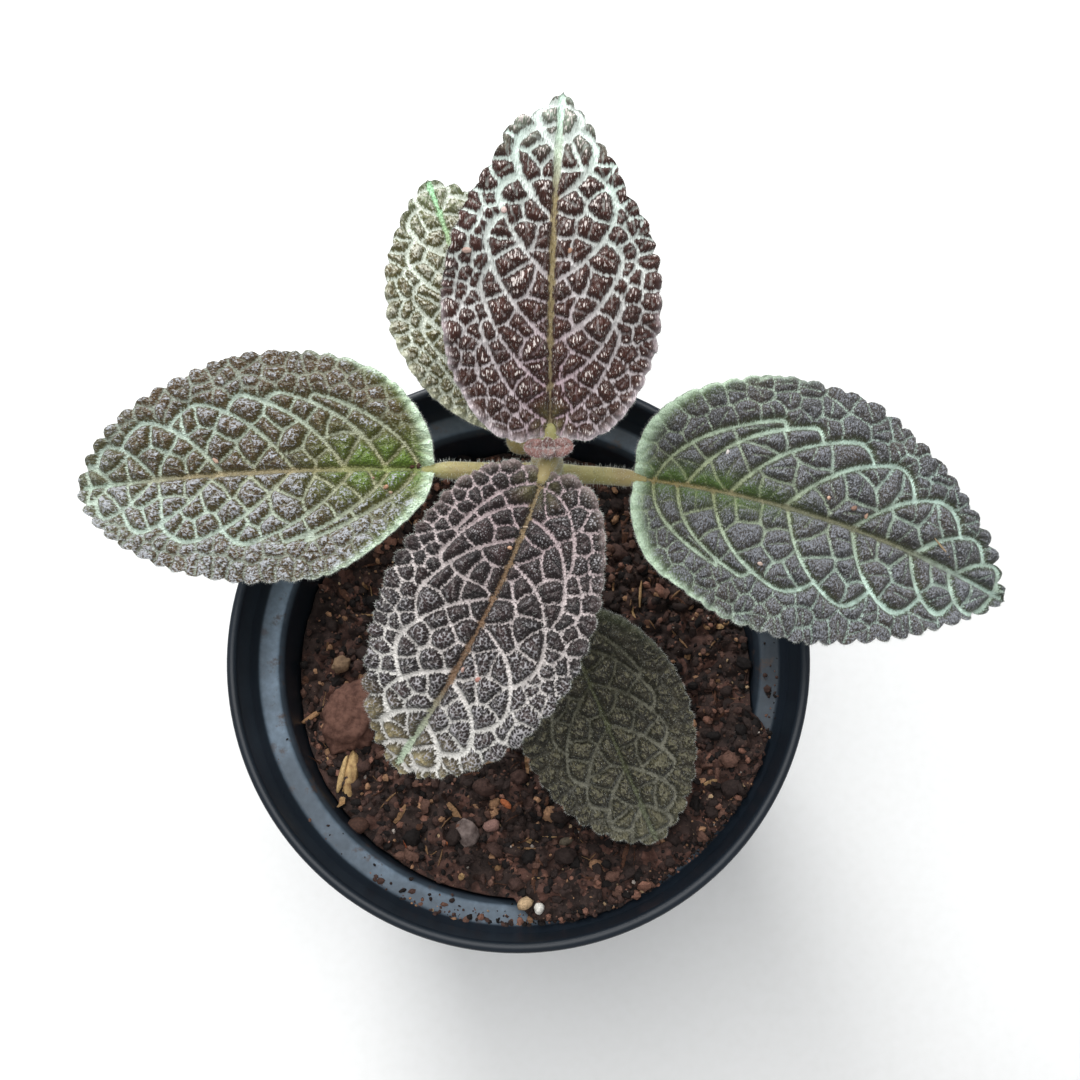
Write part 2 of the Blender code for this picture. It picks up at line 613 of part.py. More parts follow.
# Centres of cells about `size` mm wide, scattered over a region and then partly evened out.
def cell_centres(region, size, rng):
    low, high = region.min(0), region.max(0)
    s, x = np.meshgrid(np.arange(low[0], high[0], CELL_GRID), np.arange(low[1], high[1], CELL_GRID))
    field = np.stack([s.ravel(), x.ravel()], -1)
    field = field[inside_loop(field, region)]
    if len(field) < 4:
        return np.zeros((0, 2))
    centres = field[[rng.randrange(len(field))]]
    wanted = round(len(field) * CELL_GRID ** 2 / (math.sqrt(0.75) * size * size))
    while len(centres) < wanted:
        tries = field[[rng.randrange(len(field)) for _ in range(CELL_TRIES)]]
        room = ((tries[:, None] - centres[None]) ** 2).sum(-1).min(1)
        centres = np.vstack([centres, tries[np.argmax(room)]])
    for _ in range(CELL_ROUNDS):
        nearest = np.argmin(((field[:, None] - centres[None]) ** 2).sum(-1), axis=1)
        centres = np.array([field[nearest == k].mean(0) if np.any(nearest == k) else centre
                            for k, centre in enumerate(centres)])
    return centres


# The lines between the cells of a region. Centres mirrored beyond its sides make these lines
# end at the sides. The middles of cells of order 2 are added to a list.
def cell_lines(region, sides, size, order, rng, middles):
    centres = cell_centres(region, size, rng)
    count = len(centres)
    if count == 0:
        return []
    if order == 2:
        middles += list(centres)
    points = [Vector(p) for p in centres]
    for centre in centres:
        for side in sides:
            foot = nearest_on(side, centre)
            if 0.05 < math.dist(foot, centre) < MIRROR_REACH * size:
                points.append(Vector(2.0 * foot - centre))
    points += [Vector(p) for p in ((-FAR, -FAR), (FAR, -FAR), (FAR, FAR), (-FAR, FAR))]
    verts, _, faces, origin, _, _ = delaunay_2d_cdt(points, [], [], 0, 0.0001)
    real = [any(k < count for k in sources) for sources in origin]
    corners = {}
    for face in faces:
        centre = circle_centre(*(verts[i] for i in face))
        for i, j in zip(face, face[1:] + face[:1]):
            if real[i] and real[j]:
                corners.setdefault((min(i, j), max(i, j)), []).append(centre)
    made = []
    for ends in corners.values():
        if len(ends) == 2 and WALL_SHORTEST < math.dist(*ends) < WALL_LONGEST * size:
            start, end = (np.array(p) for p in ends)
            sway = rng.uniform(-WALL_SWAY, WALL_SWAY)
            middle = (start + end) / 2 + np.array([start[1] - end[1], end[0] - start[0]]) * sway
            made.append((order, np.array([start, middle, end])))
    return made


# Centre of the circle through three points.
def circle_centre(a, b, c):
    ab, ac = b - a, c - a
    twice = 2.0 * (ab.x * ac.y - ab.y * ac.x)
    if abs(twice) < 1e-9:
        return tuple((a + b + c) / 3.0)
    u, v = ab.length_squared, ac.length_squared
    return (a.x + (ac.y * u - ab.y * v) / twice, a.y + (ab.x * v - ac.x * u) / twice)


# Distance of points to the veins of one order.
def vein_distance(net, order, points):
    nearest = np.full(len(points), 99.0)
    for level, line in net:
        if level != order:
            continue
        for start, end in zip(line, line[1:]):
            ray = end - start
            share = np.clip(((points - start) @ ray) / max(float(ray @ ray), 1e-9), 0.0, 1.0)
            offset = points - start - share[:, None] * ray
            nearest = np.minimum(nearest, np.hypot(offset[:, 0], offset[:, 1]))
    return nearest


# Height of the quilted surface over the veins.
def quilt(net, points):
    groove = np.zeros(len(points))
    for order, depth, width in GROOVES:
        distance = vein_distance(net, order, points)
        groove = np.maximum(groove, depth * np.exp(-(distance / width) ** 2))
    return PUFF * (1.0 - groove)


def evenly(line, step):
    count = max(1, round(line_length(line) / step))
    return [point_along(line, i / count) for i in range(count + 1)]


# Triangles over the flat leaf, laid along its outline and its veins and over its cells.
def leaf_triangles(leaf, net, middles, outline_step, vein_step):
    outline = blade_outline(leaf, outline_step)
    points = [Vector(p) for p in outline]
    edges = []
    for _, line in net:
        first = len(points)
        stops = evenly(line, vein_step)
        points += [Vector(p) for p in stops]
        edges += [(first + i, first + i + 1) for i in range(len(stops) - 1)]
    points += [Vector(p) for p in middles]
    loop = list(range(len(outline)))
    verts, _, faces, _, _, _ = delaunay_2d_cdt(points, edges, [loop], 1, JOINED)
    return np.array([tuple(v) for v in verts]), [tuple(f) for f in faces]


# The blade as one closed body: the same triangles above and below, joined at the margin.
def leaf_mesh(name, leaf, outline_step=OUTLINE_STEP, vein_step=VEIN_STEP, puffed=True):
    net, middles = vein_net(leaf)
    flat, faces = leaf_triangles(leaf, net, middles, outline_step, vein_step)
    s, x = flat[:, 0], flat[:, 1]
    middle = blade_point(leaf, s, x)
    normal = blade_normal(leaf, s, x)
    height = quilt(net, flat) if puffed else np.zeros(len(flat))
    rib = RIB * np.exp(-(x / 0.9) ** 2) * (1.0 - ease(s, 0.6 * leaf["length"], leaf["length"]))
    top = middle + normal * (height + BLADE / 2)[:, None]
    below = middle + normal * (height - BLADE / 2 - (rib if puffed else 0.0))[:, None]
    count = len(flat)
    bm = bmesh.new()
    verts = [bm.verts.new(p * MM) for p in np.vstack([top, below])]
    for a, b, c in faces:
        bm.faces.new([verts[a], verts[b], verts[c]])
        bm.faces.new([verts[a + count], verts[c + count], verts[b + count]])
    bm.edges.ensure_lookup_table()
    bm.verts.index_update()
    for edge in [e for e in bm.edges if e.is_boundary and e.verts[0].index < count
                 and e.verts[1].index < count]:
        loop = edge.link_loops[0]
        a, b = loop.vert.index, loop.link_loop_next.vert.index
        bm.faces.new([verts[b], verts[a], verts[a + count]])
        bm.faces.new([verts[b], verts[a + count], verts[b + count]])
    mesh = bpy.data.meshes.new(name)
    bm.to_mesh(mesh)
    bm.free()
    smooth_shading(mesh, 30.0)
    return mesh


def make_leaf(name, leaf, collection, mat):
    return add_object(name, leaf_mesh(name, leaf), collection, mat)


# A tube along points in mm with a radius at each, as a closed mesh object.
def tube(name, points, radii, collection, resolution=2):
    data = bpy.data.curves.new(name, "CURVE")
    data.dimensions = "3D"
    data.bevel_depth = MM
    data.bevel_resolution = resolution
    data.use_fill_caps = True
    spline = data.splines.new("POLY")
    spline.points.add(len(points) - 1)
    for slot, point, radius in zip(spline.points, points, radii):
        slot.co = (*[c * MM for c in point], 1.0)
        slot.radius = radius
    curve = bpy.data.objects.new(name + "_curve", data)
    collection.objects.link(curve)
    bpy.context.view_layer.update()
    shape = curve.evaluated_get(bpy.context.evaluated_depsgraph_get())
    mesh = bpy.data.meshes.new_from_object(shape)
    bm = bmesh.new()
    bm.from_mesh(mesh)
    bmesh.ops.remove_doubles(bm, verts=bm.verts, dist=0.00001)
    bm.to_mesh(mesh)
    bm.free()
    bpy.data.objects.remove(curve)
    mesh.name = name
    return add_object(name, mesh, collection)


# A smooth run through a few points, with a stop about every step.
def smooth_line(points, step):
    points = np.array(points, float)
    spans = np.linalg.norm(np.diff(points, axis=0), axis=1)
    slopes = np.diff(points, axis=0) / spans[:, None]
    tangents = [slopes[0]]
    for i in range(len(spans) - 1):
        near, far = spans[i], spans[i + 1]
        tangents.append((slopes[i] * far + slopes[i + 1] * near) / (near + far))
    tangents.append(slopes[-1])
    line = []
    for i, span in enumerate(spans):
        count = max(1, round(span / step))
        for t in np.arange(count) / count:
            far_share = 3 * t ** 2 - 2 * t ** 3
            place = (1.0 - far_share) * points[i] + far_share * points[i + 1]
            place = place + (t ** 3 - 2 * t ** 2 + t) * tangents[i] * span
            line.append(place + (t ** 3 - t ** 2) * tangents[i + 1] * span)
    return line + [points[-1]]


# The stalk ends just short of its blade, in line with the midrib.
def stalk_points(name):
    leaf = LEAVES[name]
    _, points, ahead = midrib(leaf)
    end = points[0] - ahead[0] * (GAP + 0.15) - np.array([0.0, 0.0, 0.15])
    before = end - ahead[0] * 2.2
    return smooth_line([STALK_NODES[name], *STALK_BENDS[name], before, end], STALK_STEP)


def make_stem(collection, helpers, mat):
    level = smooth_level(*STEM_FOOT)
    foot = (*STEM_FOOT, level - STEM_DEPTH + GAP)
    line = smooth_line([foot, (*STEM_FOOT, level + 1.5), (2.4, 18.6, 86.0), LOW_NODE, MIDDLE_NODE,
                        TOP_NODE, STEM_TOP], STEM_STEP)
    radii = []
    for point in line:
        radius = STEM_RADIUS - 0.7 * float(ease(point[2], level, STEM_TOP[2]))
        for node in (LOW_NODE, MIDDLE_NODE, TOP_NODE):
            radius += 0.55 * math.exp(-((point[2] - node[2]) / 1.8) ** 2)
        radius -= 0.8 * float(ease(point[2], TOP_NODE[2], STEM_TOP[2]))
        radii.append(radius)
    stem = tube("stem", line, radii, collection, 3)
    joined = bpy.data.collections.new("stalks")
    helpers.children.link(joined)
    for name in LEAVES:
        points = stalk_points(name)
        size = [STALK_RADIUS * (1.25 - 0.25 * float(ease(math.dist(points[0], p), 0.0, 6.0)))
                for p in points]
        tube("stalk_" + name, points, size, joined)
    mod = boolean(stem, joined, "UNION")
    bpy.context.view_layer.update()
    shape = stem.evaluated_get(bpy.context.evaluated_depsgraph_get())
    mesh = bpy.data.meshes.new_from_object(shape)
    stem.modifiers.remove(mod)
    stem.data = mesh
    mesh.name = "stem"
    mesh.materials.clear()
    mesh.materials.append(mat)
    smooth_shading(mesh, 60.0)
    for obj in list(joined.objects):
        bpy.data.objects.remove(obj)
    bpy.data.collections.remove(joined)
    return stem


# The youngest pair, still small and pressed together, over a rounded tip.
def make_shoot_tip(collection, helpers, mat):
    bm = bmesh.new()
    bmesh.ops.create_icosphere(bm, subdivisions=2, radius=SHOOT_CORE_RADIUS * MM)
    for vert in bm.verts:
        vert.co += Vector(SHOOT_BASE) * MM
    core = bpy.data.meshes.new("shoot_tip")
    bm.to_mesh(core)
    bm.free()
    tip = add_object("shoot_tip", core, collection)
    pair = bpy.data.collections.new("shoot_leaves")
    helpers.children.link(pair)
    for index, heading in enumerate(SHOOT_HEADINGS):
        leaf = dict(SHOOT_LEAF, base=SHOOT_BASE, heading=heading)
        mesh = leaf_mesh(f"shoot_leaf_{index}", leaf, 0.55, 0.8, puffed=False)
        add_object(mesh.name, mesh, pair)
    mod = boolean(tip, pair, "UNION")
    bpy.context.view_layer.update()
    shape = tip.evaluated_get(bpy.context.evaluated_depsgraph_get())
    mesh = bpy.data.meshes.new_from_object(shape)
    tip.modifiers.remove(mod)
    tip.data = mesh
    mesh.name = "shoot_tip"
    mesh.materials.clear()
    mesh.materials.append(mat)
    smooth_shading(mesh, 50.0)
    for obj in list(pair.objects):
        bpy.data.objects.remove(obj)
    bpy.data.collections.remove(pair)
    return tip


def main():
    for obj in list(bpy.data.objects):
        bpy.data.objects.remove(obj)
    scene = bpy.context.scene
    model = bpy.data.collections.new("potted_flame_violet")
    cutters = bpy.data.collections.new("cutters")
    scene.collection.children.link(model)
    scene.collection.children.link(cutters)

    make_pot(model, cutters, material("pot plastic", "#222c31", 0.38))
    make_soil(model, cutters, material("potting soil", "#35241d", 0.95))
    make_stem(model, cutters, material("stem", "#8c7f55", 0.7))
    make_shoot_tip(model, cutters, material("young leaf", "#8d6b69", 0.7))
    blades = {
        "leaf_left": "#5a5b47", "leaf_right": "#4d5450", "leaf_back": "#4b3633",
        "leaf_front": "#3d3433", "leaf_low_back": "#5c5040", "leaf_low_front": "#3b4035",
    }
    for name, leaf in LEAVES.items():
        make_leaf(name, leaf, model, material(name, blades[name], 0.55))
    for name, piece in LOOSE_PIECES.items():
        make_loose_piece(name, piece, model, material(name, piece["color"], 0.9))


main()
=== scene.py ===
# Potted flame violet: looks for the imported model. Lengths are in millimetres until a mesh is
# made; the frame's metres come in there.

import math
import random

import bmesh
import bpy
import numpy as np
from mathutils import Matrix, Vector, kdtree, noise
from mathutils.geometry import delaunay_2d_cdt


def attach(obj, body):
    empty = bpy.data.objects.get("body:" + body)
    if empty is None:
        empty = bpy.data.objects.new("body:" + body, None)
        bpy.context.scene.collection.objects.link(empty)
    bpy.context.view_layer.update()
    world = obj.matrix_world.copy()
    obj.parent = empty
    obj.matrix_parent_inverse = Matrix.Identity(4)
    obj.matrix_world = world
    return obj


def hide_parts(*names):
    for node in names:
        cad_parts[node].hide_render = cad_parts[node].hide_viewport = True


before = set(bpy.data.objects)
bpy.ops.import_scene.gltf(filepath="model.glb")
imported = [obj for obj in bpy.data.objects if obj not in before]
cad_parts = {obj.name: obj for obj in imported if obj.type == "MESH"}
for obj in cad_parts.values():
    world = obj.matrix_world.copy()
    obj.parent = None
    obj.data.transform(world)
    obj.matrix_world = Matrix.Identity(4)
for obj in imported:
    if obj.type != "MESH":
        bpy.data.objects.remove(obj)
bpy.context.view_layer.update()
mm = 0.001


# Colours and nodes

def linear(code, alpha=1.0):
    channels = [int(code[i:i + 2], 16) / 255 for i in (1, 3, 5)]
    return (*[c / 12.92 if c <= 0.04045 else ((c + 0.055) / 1.055) ** 2.4 for c in channels], alpha)


# Adds a node. A list of values fills its sockets in order, so for Map Range it is the value,
# from min, from max, to min and to max; a dictionary goes by their names. An output is linked,
# and a hex colour is made linear. A Mix node mixes colours.
def add(tree, kind, values, out=None, **settings):
    made = tree.nodes.new("ShaderNode" + kind)
    if kind == "Mix":
        made.data_type = "RGBA"
    for name, value in settings.items():
        setattr(made, name, value)
    sockets = [s for s in made.inputs if s.enabled]
    if isinstance(values, dict):
        sockets = [next(s for s in sockets if s.name == name) for name in values]
        values = values.values()
    for socket, value in zip(sockets, values):
        if isinstance(value, bpy.types.NodeSocket):
            tree.links.new(value, socket)
        else:
            socket.default_value = linear(value) if isinstance(value, str) else value
    return next((s for s in made.outputs if s.enabled and out in (None, s.name)), None)


def newMaterial(name):
    mat = bpy.data.materials.new(name)
    mat.use_nodes = True
    tree = mat.node_tree
    tree.nodes.clear()
    return mat, tree


# Ends a material: a Principled shader with these socket values.
def finishMaterial(mat, values):
    shader = add(mat.node_tree, "BsdfPrincipled", values)
    add(mat.node_tree, "OutputMaterial", {"Surface": shader})
    return mat


# Geometry helpers

def meshFrom(name, verts, faces, mats, faceMats=None, smooth=True):
    mesh = bpy.data.meshes.new(name)
    verts = np.asarray(verts, dtype=np.float32) * mm
    mesh.from_pydata(verts.tolist(), [], [tuple(int(i) for i in f) for f in faces])
    for mat in mats:
        mesh.materials.append(mat)
    if faceMats is not None:
        mesh.polygons.foreach_set("material_index", np.asarray(faceMats, dtype=np.int32))
    mesh.polygons.foreach_set("use_smooth", np.full(len(mesh.polygons), smooth))
    mesh.update()
    return newObject(name, mesh)


def newObject(name, data):
    obj = bpy.data.objects.new(name, data)
    bpy.context.scene.collection.objects.link(obj)
    return obj


# Faces between rings of point numbers. A ring may be a single point.
def bridge(rings):
    faces = []
    for upper, lower in zip(rings, rings[1:]):
        count = max(len(upper), len(lower))
        for i in range(count):
            j = (i + 1) % count
            quad = (upper[i % len(upper)], lower[i % len(lower)],
                    lower[j % len(lower)], upper[j % len(upper)])
            faces.append(tuple(dict.fromkeys(quad)))
    return faces


# Gives each point of a mesh a value for the materials to read.
def give(obj, name, values, kind="FLOAT", field="value"):
    layer = obj.data.attributes.new(name, kind, "POINT")
    layer.data.foreach_set(field, np.asarray(values, dtype=np.float32).ravel())


# One piece from many small bodies, each given by its points, triangles and tone.
def gather(name, slot, bodies, mat, smooth=True):
    verts, faces, tones = [], [], []
    total = 0
    for body, shell, tone in bodies:
        verts.append(body)
        faces.append(shell + total)
        tones.append(np.tile(tone, (len(body), 1)))
        total += len(body)
    piece = meshFrom(name, np.vstack(verts), np.vstack(faces), [mat], smooth=smooth)
    give(piece, "tone", np.vstack(tones), "FLOAT_COLOR", "color")
    settle(piece, slot)


# Puts a piece on the one body and hides the solid that it stands for, if any; the slot is not used.
def settle(piece, slot, solid=None):
    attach(piece, "root")
    if solid:
        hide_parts(solid)


def applyModifiers(obj):
    bpy.context.view_layer.update()
    shape = obj.evaluated_get(bpy.context.evaluated_depsgraph_get())
    mesh = bpy.data.meshes.new_from_object(shape)
    obj.modifiers.clear()
    obj.data = mesh


# Finds the nearest of some points of a plane.
def nearTree(points):
    tree = kdtree.KDTree(len(points))
    for i, p in enumerate(points):
        tree.insert((p[0], p[1], 0.0), i)
    tree.balance()
    return tree


def unit(ways):
    return ways / np.linalg.norm(ways, axis=-1, keepdims=True)


def ease(value, low, high):
    t = np.clip((value - low) / (high - low), 0.0, 1.0)
    return t * t * (3.0 - 2.0 * t)


# Smooth random values from 0 to 1 over a plane, with bumps about `size` mm across.
def cloud(points, size, seed):
    grid = np.random.RandomState(seed).random_sample((64, 64))
    p = np.asarray(points)[:, :2] / size + 17.3
    cell = np.floor(p).astype(int)
    t = ease(p - cell, 0.0, 1.0)
    i, j = cell[:, 0] % 64, cell[:, 1] % 64
    i2, j2 = (i + 1) % 64, (j + 1) % 64
    near = grid[i, j] * (1 - t[:, 0]) + grid[i2, j] * t[:, 0]
    far = grid[i, j2] * (1 - t[:, 0]) + grid[i2, j2] * t[:, 0]
    return near * (1 - t[:, 1]) + far * t[:, 1]


# Distance to the nearest and to the second nearest of points scattered `pitch` mm apart.
def grains(points, pitch, seed):
    jitter = np.random.RandomState(seed).random_sample((64, 64, 2))
    p = np.asarray(points)[:, :2] / pitch + 31.7
    cell = np.floor(p).astype(int)
    first = np.full(len(p), 9.0)
    second = np.full(len(p), 9.0)
    for di in (-1, 0, 1):
        for dj in (-1, 0, 1):
            other = cell + (di, dj)
            spot = other + 0.15 + 0.7 * jitter[other[:, 0] % 64, other[:, 1] % 64]
            d = np.hypot(*(p - spot).T)
            second = np.minimum(second, np.maximum(first, d))
            first = np.minimum(first, d)
    return first * pitch, second * pitch


# Camera: the photograph was taken from above, a little in front of the pot. The fit has a focal
# length of 1300 pixels on a frame of 1080.
camera = dict(place=(3.838, -33.265, 315.396), lean=13.0, sensor=36.0, lens=36.0 * 1300 / 1080)


def makeCamera():
    data = bpy.data.cameras.new("camera")
    data.sensor_width = camera["sensor"]
    data.lens = camera["lens"]
    data.clip_start = 0.01
    obj = newObject("camera", data)
    obj.location = Vector(camera["place"]) * mm
    obj.rotation_euler = (math.radians(camera["lean"]), 0.0, 0.0)
    bpy.context.scene.camera = obj


makeCamera()
print("camera ready")


# Light: a pale room, a large soft lamp overhead and a smaller one from the back, which draws
# out the relief of the leaves.
light = dict(
    sky="#f3f6fa", skyPower=0.40,
    softbox=dict(place=(-50.0, 100.0, 640.0), aim=(0.0, 10.0, 100.0), size=520.0, power=3.0,
                 color="#ffffff"),
    back=dict(place=(-160.0, 430.0, 400.0), aim=(0.0, 10.0, 110.0), size=200.0, power=2.2,
              color="#fdfeff"),
    floor="#f6f6f4", floorPale="#fdfdfc", floorReach=1500.0)


def makeLamp(name, lamp):
    data = bpy.data.lights.new(name, "AREA")
    data.shape = "SQUARE"
    data.size = lamp["size"] * mm
    data.energy = lamp["power"]
    data.color = linear(lamp["color"])[:3]
    obj = newObject(name, data)
    place, aim = Vector(lamp["place"]) * mm, Vector(lamp["aim"]) * mm
    obj.location = place
    obj.rotation_euler = (aim - place).to_track_quat("-Z", "Y").to_euler()


def makeLight():
    world = bpy.data.worlds.new("pale room")
    world.use_nodes = True
    background = world.node_tree.nodes["Background"]
    background.inputs["Color"].default_value = linear(light["sky"])
    background.inputs["Strength"].default_value = light["skyPower"]
    bpy.context.scene.world = world
    makeLamp("softbox", light["softbox"])
    makeLamp("back light", light["back"])
    view = bpy.context.scene.view_settings
    view.view_transform = "Standard"
    view.look = "None"

    # Matt white board: bright and even, with a trace of paper grain.
    mat, tree = newMaterial("matt white board")
    where = add(tree, "NewGeometry", {}, out="Position")
    grain = add(tree, "TexNoise", {"Vector": where, "Scale": 400.0, "Detail": 2.0})
    tone = add(tree, "Mix", [grain, light["floor"], light["floorPale"]])
    finishMaterial(mat, {"Base Color": tone, "Roughness": 0.9})
    reach = light["floorReach"]
    corners = [(-reach, -reach, 0), (reach, -reach, 0), (reach, reach, 0), (-reach, reach, 0)]
    floor = meshFrom("floor", corners, [(0, 1, 2, 3)], [mat], smooth=False)


makeLight()
print("light ready")


# Pot

pot = dict(
    height=86.0, rimRadius=52.0, wall=1.2, collarWall=1.1, beadHeight=2.2, ledgeHeight=76.4,
    ledgeInner=44.0, ledgeOuter=48.9, footRadius=35.2, footWidth=4.6, floor=1.3, footRise=1.7,
    centreRadius=12.0, drains=6, drainRadius=4.0, drainCircle=22.0, drainTurn=0.46,
    steps=168, corner=0.45, longest=6.0, sharp=40.0,
    # The last colour is a painted reflection of the room on the ledge.
    color="#151a20", faded="#1a2530", soilDust="#4a3a31", ledgeReflection="#8ea3b6")


# The half section, from the middle of the floor up the inside, over the rim and down outside.
def potCorners():
    p = pot
    floorTop = p["footRise"] + p["floor"]
    innerFoot = p["footRadius"] - p["wall"]
    bodyTop = p["ledgeInner"] + p["wall"]
    collarFoot = p["ledgeOuter"] + p["collarWall"]
    ledge, top, rim, foot = p["ledgeHeight"], p["height"], p["rimRadius"], p["footRadius"]
    beadFoot = top - p["beadHeight"]
    return [
        (0.0, floorTop), (innerFoot - 0.8, floorTop), (innerFoot, floorTop + 0.8),
        (p["ledgeInner"] - 0.5, ledge - 1.8), (p["ledgeInner"] + 0.6, ledge),
        (p["ledgeOuter"] - 1.0, ledge + 0.4), (p["ledgeOuter"] + 0.3, ledge + 2.8),
        (rim - 1.9, top - 0.7), (rim - 1.5, top - 0.1), (rim - 0.8, top), (rim - 0.15, top - 0.35),
        (rim, top - 1.0), (rim - 0.1, beadFoot), (rim - 0.9, beadFoot - 0.6),
        (collarFoot + 0.1, ledge - 0.6), (collarFoot - 0.5, ledge - 1.2),
        (bodyTop + 0.6, ledge - 1.4), (bodyTop, ledge - 2.0),
        (foot + 0.3, 0.9), (foot - 0.3, 0.0), (foot - p["footWidth"], 0.0),
        (foot - p["footWidth"] - 0.7, p["footRise"]), (p["centreRadius"] + 0.8, p["footRise"]),
        (p["centreRadius"], 0.0), (0.0, 0.0),
    ]


# Rounds each corner of a line with a small arc.
def rounded(corners, size):
    made = [corners[0]]
    for before, here, after in zip(corners, corners[1:], corners[2:]):
        here = np.array(here)
        back, ahead = np.array(before) - here, np.array(after) - here
        cut = min(size, 0.45 * np.hypot(*back), 0.45 * np.hypot(*ahead))
        start = here + back / np.hypot(*back) * cut
        end = here + ahead / np.hypot(*ahead) * cut
        for t in (0.0, 0.33, 0.67, 1.0):
            made.append(tuple((1 - t) ** 2 * start + 2 * t * (1 - t) * here + t * t * end))
    return made + [corners[-1]]


# Splits long runs so that no piece is over `longest` mm.
def split(line, longest):
    made = [line[0]]
    for start, end in zip(line, line[1:]):
        count = max(1, math.ceil(math.dist(start, end) / longest))
        for i in range(1, count + 1):
            made.append(tuple(a + (b - a) * i / count for a, b in zip(start, end)))
    return made


# Injection-moulded polypropylene: near black with a blue cast and a satin gloss. A painted
# reflection of the pale room makes the ledge slate blue where it faces up, in speckled patches,
# more on the left, and soil is smeared over it. Its levels and places are in metres.
def potMaterial():
    mat, tree = newMaterial("moulded polypropylene")
    where = add(tree, "NewGeometry", {}, out="Position")
    place = add(tree, "SeparateXYZ", {"Vector": where}, out="X")
    level = add(tree, "SeparateXYZ", {"Vector": where}, out="Z")
    smear = add(tree, "TexNoise", {"Vector": where, "Scale": 60.0, "Detail": 5.0, "Roughness": 0.6})
    base = add(tree, "Mix", [smear, pot["color"], pot["faded"]])
    fine = add(tree, "TexNoise", {"Vector": where, "Scale": 900.0, "Detail": 3.0})
    facing = add(tree, "NewGeometry", {}, out="Normal")
    up = add(tree, "SeparateXYZ", {"Vector": facing}, out="Z")
    lies = add(tree, "MapRange", [up, 0.35, 0.9], interpolation_type="SMOOTHSTEP")
    above = add(tree, "MapRange", [level, 0.0735, 0.0755])
    below = add(tree, "MapRange", [level, 0.0764, 0.0774, 1.0, 0.0])
    ledge = add(tree, "Math", [above, below], operation="MULTIPLY")
    patch = add(tree, "MapRange", [smear, 0.35, 0.62, 0.45], interpolation_type="SMOOTHSTEP")
    # Painted reflection: pale slate blue on the ledge where it faces up, in patches, more on the
    # left.
    sideways = add(tree, "MapRange", [place, -0.045, 0.04, 0.85, 0.22])
    reflectionMask = add(tree, "Math", [lies, ledge], operation="MULTIPLY")
    reflectionMask = add(tree, "Math", [reflectionMask, patch], operation="MULTIPLY")
    reflectionMask = add(tree, "Math", [reflectionMask, sideways], operation="MULTIPLY")
    speck = add(tree, "MapRange", [fine, 0.2, 0.8, 0.6])
    ledgeReflection = add(tree, "Math", [reflectionMask, speck], operation="MULTIPLY")
    tone = add(tree, "Mix", [ledgeReflection, base, pot["ledgeReflection"]])
    spots = add(tree, "TexNoise", {"Vector": where, "Scale": 260.0, "Detail": 4.0, "Roughness": 0.7})
    spots = add(tree, "MapRange", [spots, 0.58, 0.68, 0.0, 0.8])
    spots = add(tree, "Math", [spots, ledge], operation="MULTIPLY")
    tone = add(tree, "Mix", [spots, tone, pot["soilDust"]])
    gloss = add(tree, "MapRange", [ledgeReflection, 0.0, 1.0, 0.42, 0.7])
    ripple = add(tree, "TexNoise", {"Vector": where, "Scale": 90.0, "Detail": 2.0})
    bump = add(tree, "Bump", {"Height": ripple, "Strength": 0.08, "Distance": 0.0004})
    return finishMaterial(mat, {"Base Color": tone, "Roughness": gloss, "IOR": 1.49,
                                "Specular IOR Level": 0.4, "Normal": bump})


def makePot():
    line = split(rounded(potCorners(), pot["corner"]), pot["longest"])
    steps = pot["steps"]
    angles = 2 * math.pi * np.arange(steps) / steps
    verts, rings = [], []
    for r, z in line:
        if r < 1e-6:
            rings.append([len(verts)])
            verts.append((0.0, 0.0, z))
            continue
        rings.append(list(range(len(verts), len(verts) + steps)))
        verts += [(r * math.cos(a), r * math.sin(a), z) for a in angles]
    cup = meshFrom("nursery_pot", verts, bridge(rings), [potMaterial()])
    bm = bmesh.new()
    bm.from_mesh(cup.data)
    bmesh.ops.recalc_face_normals(bm, faces=bm.faces)
    bm.to_mesh(cup.data)
    bm.free()
    drills = []
    for i in range(pot["drains"]):
        angle = 2 * math.pi * (i + pot["drainTurn"]) / pot["drains"]
        drill = bpy.data.meshes.new("drain")
        bm = bmesh.new()
        bmesh.ops.create_cone(bm, cap_ends=True, segments=28, radius1=pot["drainRadius"] * mm,
                              radius2=pot["drainRadius"] * mm, depth=8.0 * mm)
        bm.to_mesh(drill)
        bm.free()
        tool = newObject("drain", drill)
        tool.location = (pot["drainCircle"] * math.cos(angle) * mm,
                         pot["drainCircle"] * math.sin(angle) * mm, pot["footRise"] * mm)
        cut = cup.modifiers.new("drain", "BOOLEAN")
        cut.operation = "DIFFERENCE"
        cut.solver = "EXACT"
        cut.object = tool
        drills.append(tool)
    applyModifiers(cup)
    for tool in drills:
        bpy.data.objects.remove(tool)
    cup.data.shade_smooth()
    cup.data.set_sharp_from_angle(angle=math.radians(pot["sharp"]))
    settle(cup, "pot_plastic", "pot")


makePot()
print("pot ready")


# Soil

# relief: how far apart, how high and by which seed the clods stand
soil = dict(
    level=69.5, tilt=4.2, highSide=-50.0, spillFrom=-84.0, spillTo=-20.0, spillWidth=3.4,
    spillHeight=1.7, bank=3.0, bankReach=7.0, lump=1.1, lumpWidths=(5.0, 2.3),
    relief=((4.4, 1.5, 4), (2.3, 1.0, 1), (1.1, 0.5, 2)), fine=0.8,
    gap=0.3, spacing=0.55, sides=340, stemFoot=(2.0, 14.0), stemRadius=2.7,
    dark="#1c1614", brown="#382a26", red="#5a3d34", tan="#87705c")


def innerRadius(z):
    lowR, lowZ = pot["footRadius"] - pot["wall"], pot["footRise"] + pot["floor"] + 0.8
    highR, highZ = pot["ledgeInner"] - 0.5, pot["ledgeHeight"] - 1.8
    return lowR + (highR - lowR) * (z - lowZ) / (highZ - lowZ)


def wallRadius(z):
    return innerRadius(min(z, pot["ledgeHeight"] - 2.0)) - soil["gap"]


